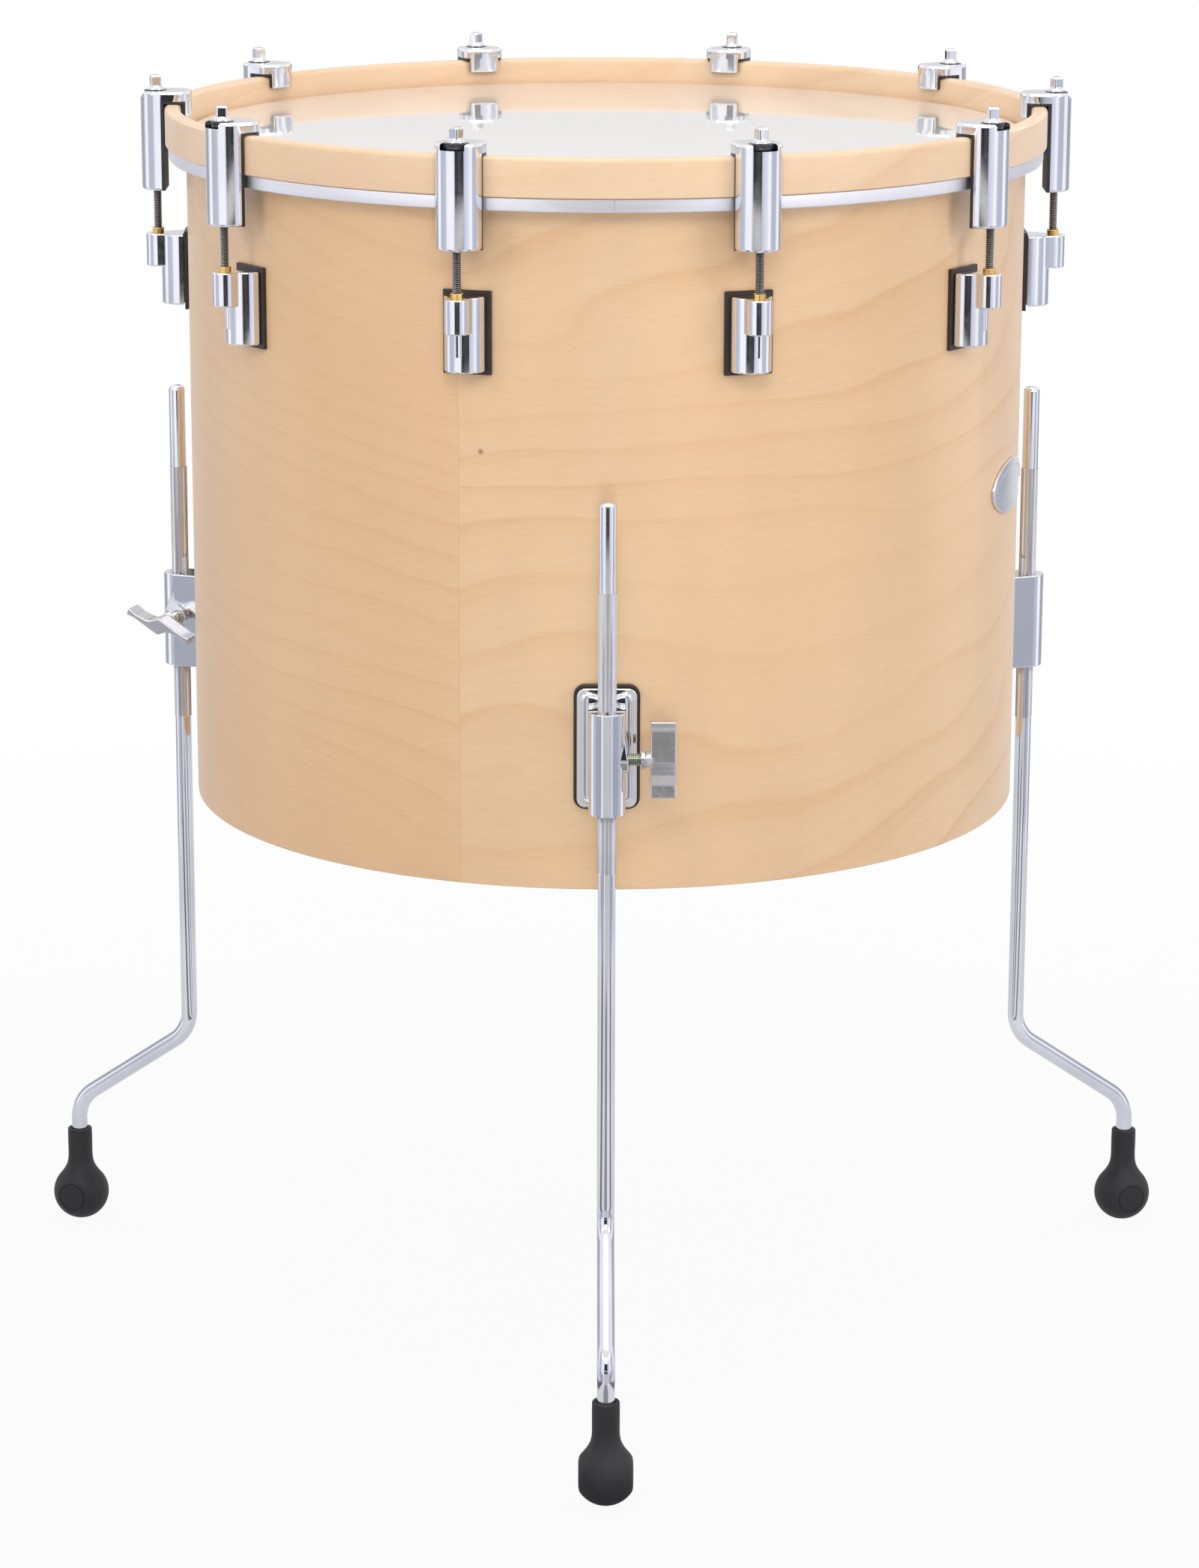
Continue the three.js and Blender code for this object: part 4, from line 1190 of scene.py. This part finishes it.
def beadForm(spec):  # the raised bead round the plate, which dips where the leg passes
    pull, sink = 2 * spec["beadInset"], spec["beadSink"]
    path = refined(rectangle(spec["width"] - pull, spec["height"] - pull, spec["beadCorner"], 10), 0.8)
    half, tall, across = spec["beadWidth"] / 2, spec["beadHeight"], 10
    corners, faces = [], []
    count = len(path)
    for i, point in enumerate(path):
        heading = (path[(i + 1) % count] - path[i - 1]).normalized()
        side = Vector((heading.y, -heading.x))
        dip = 0.0
        if point.y > 0 and abs(point.x) < spec["beadDipReach"]:
            dip = spec["beadDip"] * math.cos(math.pi / 2 * point.x / spec["beadDipReach"]) ** 2
        for k in range(across + 1):
            angle = math.pi * k / across
            x, z = point + side * half * math.cos(angle)
            depth = spec["face"] - sink + (tall + sink) * math.sin(angle)
            corners.append((x, -depth, z + spec["centre"] - dip))
    rows = across + 1
    for i in range(count):
        for k in range(rows):
            a, b = i * rows + k, i * rows + (k + 1) % rows
            c, d = ((i + 1) % count) * rows + (k + 1) % rows, ((i + 1) % count) * rows + k
            faces.append((a, b, c, d))
    return meshOf("bead", corners, faces)


def bossForm(spec):  # a round boss with a fairing that runs up the housing
    radius, rise = spec["bossRadius"], spec["bossRise"]
    half = math.degrees(math.acos(radius / rise))
    outline = [*arc((0, 0), radius, 90 + half, 450 - half, 48), (0, rise)]
    outline = eased(outline, [0] * (len(outline) - 1) + [1.2], 6)
    form = raised("boss", refined(outline, 1.2), 0, spec["bossFace"], spec["bossEdge"])
    for vertex in form.vertices:
        x, y, z = vertex.co
        if z > 5:
            z -= spec["bossTaper"] * max(0.0, y / rise) ** 0.8
        vertex.co = (z, -spec["housingCentre"] - x, y + spec["centre"])
    return form


def makeBrackets():
    spec = bracket
    plate = proud("bracket_castings", rectangle(spec["width"], spec["height"], spec["corner"], 10),
                  spec["back"], spec["face"], spec["edge"], spec["centre"])
    housingPlan = halfRound(spec["housingWidth"], spec["face"] - 1, spec["housingCentre"], 64)
    housing = raised("housing", housingPlan, spec["housingLow"], spec["housingHigh"], spec["housingEdge"])
    legBore = standing(bar("legBore", spec["legBore"], 40, 130), spec["housingCentre"])
    boltBore = lying(bar("boltBore", spec["boltBore"], 0, 20, 40), spec["housingCentre"], spec["centre"])
    form = fitted(
        plate,
        ("UNION", beadForm(spec)),
        ("UNION", housing),
        ("UNION", bossForm(spec)),
        ("DIFFERENCE", legBore),
        ("DIFFERENCE", boltBore),
    )
    ringedPiece("bracket_castings", form, "chrome", "chrome", sideNames("leg_bracket"), 30, True, **legRing)


def makeBracketPads():
    form = padForm("bracket_pads", bracketPad)
    ringedPiece("bracket_pads", form, "gasket", "gasket_black", sideNames("bracket_gasket"), **legRing)


def makeBracketScrews():
    screws, washers = innerSet("bracket", bracketPad["centre"])
    ringedPiece("bracket_screws", screws, "steel", "rod_steel", **legRing)
    ringedPiece("bracket_washers", washers, "zinc", "zinc_plate", **legRing)


makeBrackets()
makeBracketPads()
makeBracketScrews()
print("brackets made")


# wing bolts: coarse zinc thread, flange and neck, S-shaped chromed wing
wing = dict(
    lobe=[(-5.2, -1.5), (-3.4, 9.1), (-1.9, 17.9), (-2.4, 22.3), (2.3, 22.4), (0.4, 15.3), (0.4, 7.1)],
    rounds=[2.4, 30, 14, 0.9, 0.9, 9, 7], near=24.6, far=39.1, edge=0.8,
    flangeRadius=5.5, flangeNear=19.1, flangeFar=21.6, neckStep=0.4, neckRadius=4.3, neckFlare=0.9,
    neckReach=1.5, neckEnd=2.5, neckRounds=[0, 0.6, 0.8, 1.0, 0.4, 0],
    turns={"front": 0, "right": 0, "left": 67},
)
boltThread = dict(core=3.15, crest=0.62, pitch=1.25, near=5.7, far=19.6, steps=24)


def makeWingBolts():
    lobe = wing["lobe"] + [(-across, -along) for across, along in wing["lobe"]]
    outline = eased(lobe, wing["rounds"] * 2, 8)
    blade = raised("blade", outline, wing["near"], wing["far"], wing["edge"])
    blade = moved(blade, Matrix.Rotation(math.pi / 2, 4, "Z") @ Matrix.Rotation(math.pi / 2, 4, "X"))
    flange, near, far = wing["flangeRadius"], wing["flangeNear"], wing["flangeFar"]
    radius, base = wing["neckRadius"], wing["near"]
    profile = [(0, near), (flange, near), (flange, far), (radius, far + wing["neckStep"]),
               (radius + wing["neckFlare"], base + wing["neckReach"]), (0, base + wing["neckEnd"])]
    sideways = Matrix.Rotation(math.pi / 2, 4, "Y")
    neck = moved(turned("neck", eased(profile, wing["neckRounds"], 5), 64), sideways)
    grip = fitted(blade, ("UNION", neck))
    thread = threadForm(boltThread, boltThread["far"] - boltThread["near"], "boltThread")
    moved(thread, sideways @ Matrix.Translation((0, 0, boltThread["near"])))
    for side, azimuth in legSides.items():
        body = f"wing_bolt_{side}"
        axis = Matrix.Translation((0, -bracket["housingCentre"], bracket["centre"]))
        turn = Matrix.Rotation(math.radians(wing["turns"][side]), 4, "X")
        place = drumPlace @ Matrix.Rotation(math.radians(azimuth), 4, "Z") @ axis @ turn
        blade, screw = moved(grip.copy(), place), moved(thread.copy(), place)
        readyPiece(f"bolt_wing_{side}", blade, "wingChrome", body, [body], 30, True)
        readyPiece(f"bolt_thread_{side}", screw, "boltThread", body, (), 50)


makeWingBolts()
print("wing bolts made")


# legs: bent chromed rod with two knurled lengths, on rubber feet
leg = dict(
    circle=285.0, reach=80.5, radius=5.1, bend=25.0, ankle=82.0, kneeDrop=56.0, top=566.0, end=28.4,
    dome=3.2, sides=48, bendSteps=20,
    knurlInset=52.0, upperKnurl=73.0, knurlGap=15.0, lowerKnurl=75.0, root=4.98, crest=5.42, columns=56,
    rowStep=0.72,
)
foot = dict(
    ball=18.2, centre=17.6, flat=15.75, soft=1.3, height=62.0, neck=7.9, rim=0.8, floor=4.6, socket=5.35,
    socketFloor=28.0, lean=40, firstPull=12.5, lastPull=(-0.6, 20.0), discRadius=9.2, discDepth=0.8,
    discGroove=0.9, sides=96,
)


def legForm():
    slant = math.atan2(leg["reach"], leg["kneeDrop"])
    tangent = leg["bend"] * math.tan(slant / 2)
    knee = leg["ankle"] + leg["kneeDrop"]
    rings = [(-leg["reach"], leg["end"], 0.0, leg["radius"])]
    bends = [(-leg["reach"] + leg["bend"], leg["ankle"] - tangent, -1, 0, -slant),
             (-leg["bend"], knee + tangent, 1, -slant, 0)]
    for y, z, way, first, last in bends:
        for i in range(leg["bendSteps"] + 1):
            angle = first + (last - first) * i / leg["bendSteps"]
            reach = way * leg["bend"]
            rings.append((y + reach * math.cos(angle), z + reach * math.sin(angle), angle, leg["radius"]))
    rings.append((0, leg["top"] - leg["dome"], 0.0, leg["radius"]))
    for i in range(1, 7):
        angle = math.radians(90 * i / 7)
        radius = leg["radius"] - leg["dome"] * (1 - math.cos(angle))
        rings.append((0, leg["top"] - leg["dome"] * (1 - math.sin(angle)), 0.0, radius))
    corners = []
    sides = leg["sides"]
    for y, z, tilt, radius in rings:
        for i in range(sides):
            angle = 2 * math.pi * i / sides
            x, around = radius * math.cos(angle), radius * math.sin(angle)
            corners.append((x, y + around * math.cos(tilt), z + around * math.sin(tilt)))
    ends = [list(range(sides))[::-1], [len(corners) - sides + i for i in range(sides)]]
    return meshOf("leg", corners, wallFaces(len(rings), sides) + ends)


def knurlForm(length):
    values = {
        "Columns": leg["columns"], "Rows": int(length / leg["rowStep"] / 2) * 2 + 2,
        "Root Radius": leg["root"] * mm, "Crest Radius": leg["crest"] * mm,
        "Length": length * mm, "Finish": finishes["knurl"],
    }
    return moved(grown("knurl", diamondKnurl, values), Matrix.Scale(1 / mm, 4))


def footForm():
    spec = foot
    height, rim, socket = spec["height"], spec["rim"], spec["socket"]
    lowest = math.degrees(math.asin(spec["centre"] / spec["ball"]))
    ballArc = arc((0, spec["centre"]), spec["ball"], -lowest + 2, spec["lean"], 22)
    start, end = Vector(ballArc[-1]), Vector((spec["neck"], height - rim - 0.1))
    lean = math.radians(spec["lean"])
    first = start + Vector((-math.sin(lean), math.cos(lean))) * spec["firstPull"]
    second = end - Vector(spec["lastPull"])
    neck = []
    for i in range(1, 21):
        t = i / 20
        s = 1 - t
        point = start * s ** 3 + first * (3 * t * s ** 2) + second * (3 * t * t * s) + end * t ** 3
        neck.append(tuple(point))
    lip = arc((spec["neck"] - rim, height - rim), rim, 10, 90, 5)
    profile = [(0, 0), (spec["floor"], 0), *ballArc, *neck, *lip, (socket + 0.3, height),
               (socket, height - 0.4), (socket, spec["socketFloor"]), (0, spec["socketFloor"])]
    form = turned("foot", profile, spec["sides"])
    for vertex in form.vertices:  # the two flats, with a soft edge
        x = vertex.co.x
        over = abs(x) - (spec["flat"] - spec["soft"])
        if over > 0:
            reach = spec["soft"] * math.tanh(over / spec["soft"])
            vertex.co.x = math.copysign(spec["flat"] - spec["soft"] + reach, x)
    near, outer = spec["flat"] - spec["discDepth"], spec["discRadius"]
    groove = eased(fourCorners(outer - spec["discGroove"], outer, near, near + 4), 0.1, 2)
    for way in (1, -1):
        ring = moved(turned("ring", groove, 72), Matrix.Rotation(way * math.pi / 2, 4, "Y"))
        form = fitted(form, ("DIFFERENCE", moved(ring, Matrix.Translation((0, 0, spec["centre"])))))
    return form


def makeLegs():
    knurlTop = leg["top"] - leg["knurlInset"]
    lowerTop = knurlTop - leg["upperKnurl"] - leg["knurlGap"]
    upper = moved(knurlForm(leg["upperKnurl"]), Matrix.Translation((0, 0, knurlTop - leg["upperKnurl"])))
    lower = moved(knurlForm(leg["lowerKnurl"]), Matrix.Translation((0, 0, lowerTop - leg["lowerKnurl"])))
    grip = grooveMap(joined("grip", upper, lower), leg["root"], leg["crest"])
    tube, cup = legForm(), footForm()
    for side, azimuth in legSides.items():
        body = f"leg_{side}"
        turn = floorPlace @ Matrix.Rotation(math.radians(azimuth), 4, "Z")
        place = turn @ Matrix.Translation((0, -leg["circle"], 0))
        footPlace = turn @ Matrix.Translation((0, -leg["circle"] - leg["reach"], 0))
        shaft, knurl = moved(tube.copy(), place), moved(grip.copy(), place)
        rubber = moved(cup.copy(), footPlace)
        readyPiece(f"leg_tube_{side}", shaft, "legChrome", body, [f"leg_rod_{side}"], 40)
        readyPiece(f"leg_knurl_{side}", knurl, "knurl", body, (), 1)
        readyPiece(f"foot_cup_{side}", rubber, "rubber", body, [f"foot_{side}"], 35)


makeLegs()
print("legs made")


# badge: blank oval plate with a flat rim and a recessed, slightly domed middle
badge = dict(azimuth=73.0, height=203.0, width=74.0, depth=32.0, seat=254.3, rim=4.2, groove=0.7, sides=128)


def makeBadge():
    spec = badge
    rim, groove, sides = spec["rim"], spec["groove"], spec["sides"]
    steps = [(0.0, 0.0), (0.0, 1.0), (0.25, 1.35), (0.6, 1.5), (rim, 1.5), (rim + 0.15, 1.0),
             (rim + groove, 1.0), (rim + groove + 0.2, 1.3)]  # distance inwards from the edge, and rise
    steps += [(rim + 1.2 + k * 1.6, 1.32 + 0.03 * k) for k in range(1, 6)]
    corners = []
    for pull, rise in steps:
        for i in range(sides):
            angle = 2 * math.pi * i / sides
            x = (spec["width"] / 2 - pull) * math.cos(angle)
            z = (spec["depth"] / 2 - pull) * math.sin(angle)
            radius = spec["seat"] + rise
            turn = x / radius
            corners.append((radius * math.sin(turn), -radius * math.cos(turn), z + spec["height"]))
    faces = wallFaces(len(steps), sides)
    last = (len(steps) - 1) * sides
    for base in (0, last):  # strips across the oval, so that it follows the shell
        for i in range(sides // 2 - 1):
            a, b = base + i, base + i + 1
            c, d = base + (sides - 1 - i) % sides, base + (sides - i) % sides
            faces.append([a, b, c, d] if i else [a, b, c])
    place = drumPlace @ Matrix.Rotation(math.radians(spec["azimuth"]), 4, "Z")
    form = moved(meshOf("badge_plate", corners, faces), place)
    readyPiece("badge_plate", form, "badge", "drum", ["badge"], 30)


makeBadge()
print("badge made")
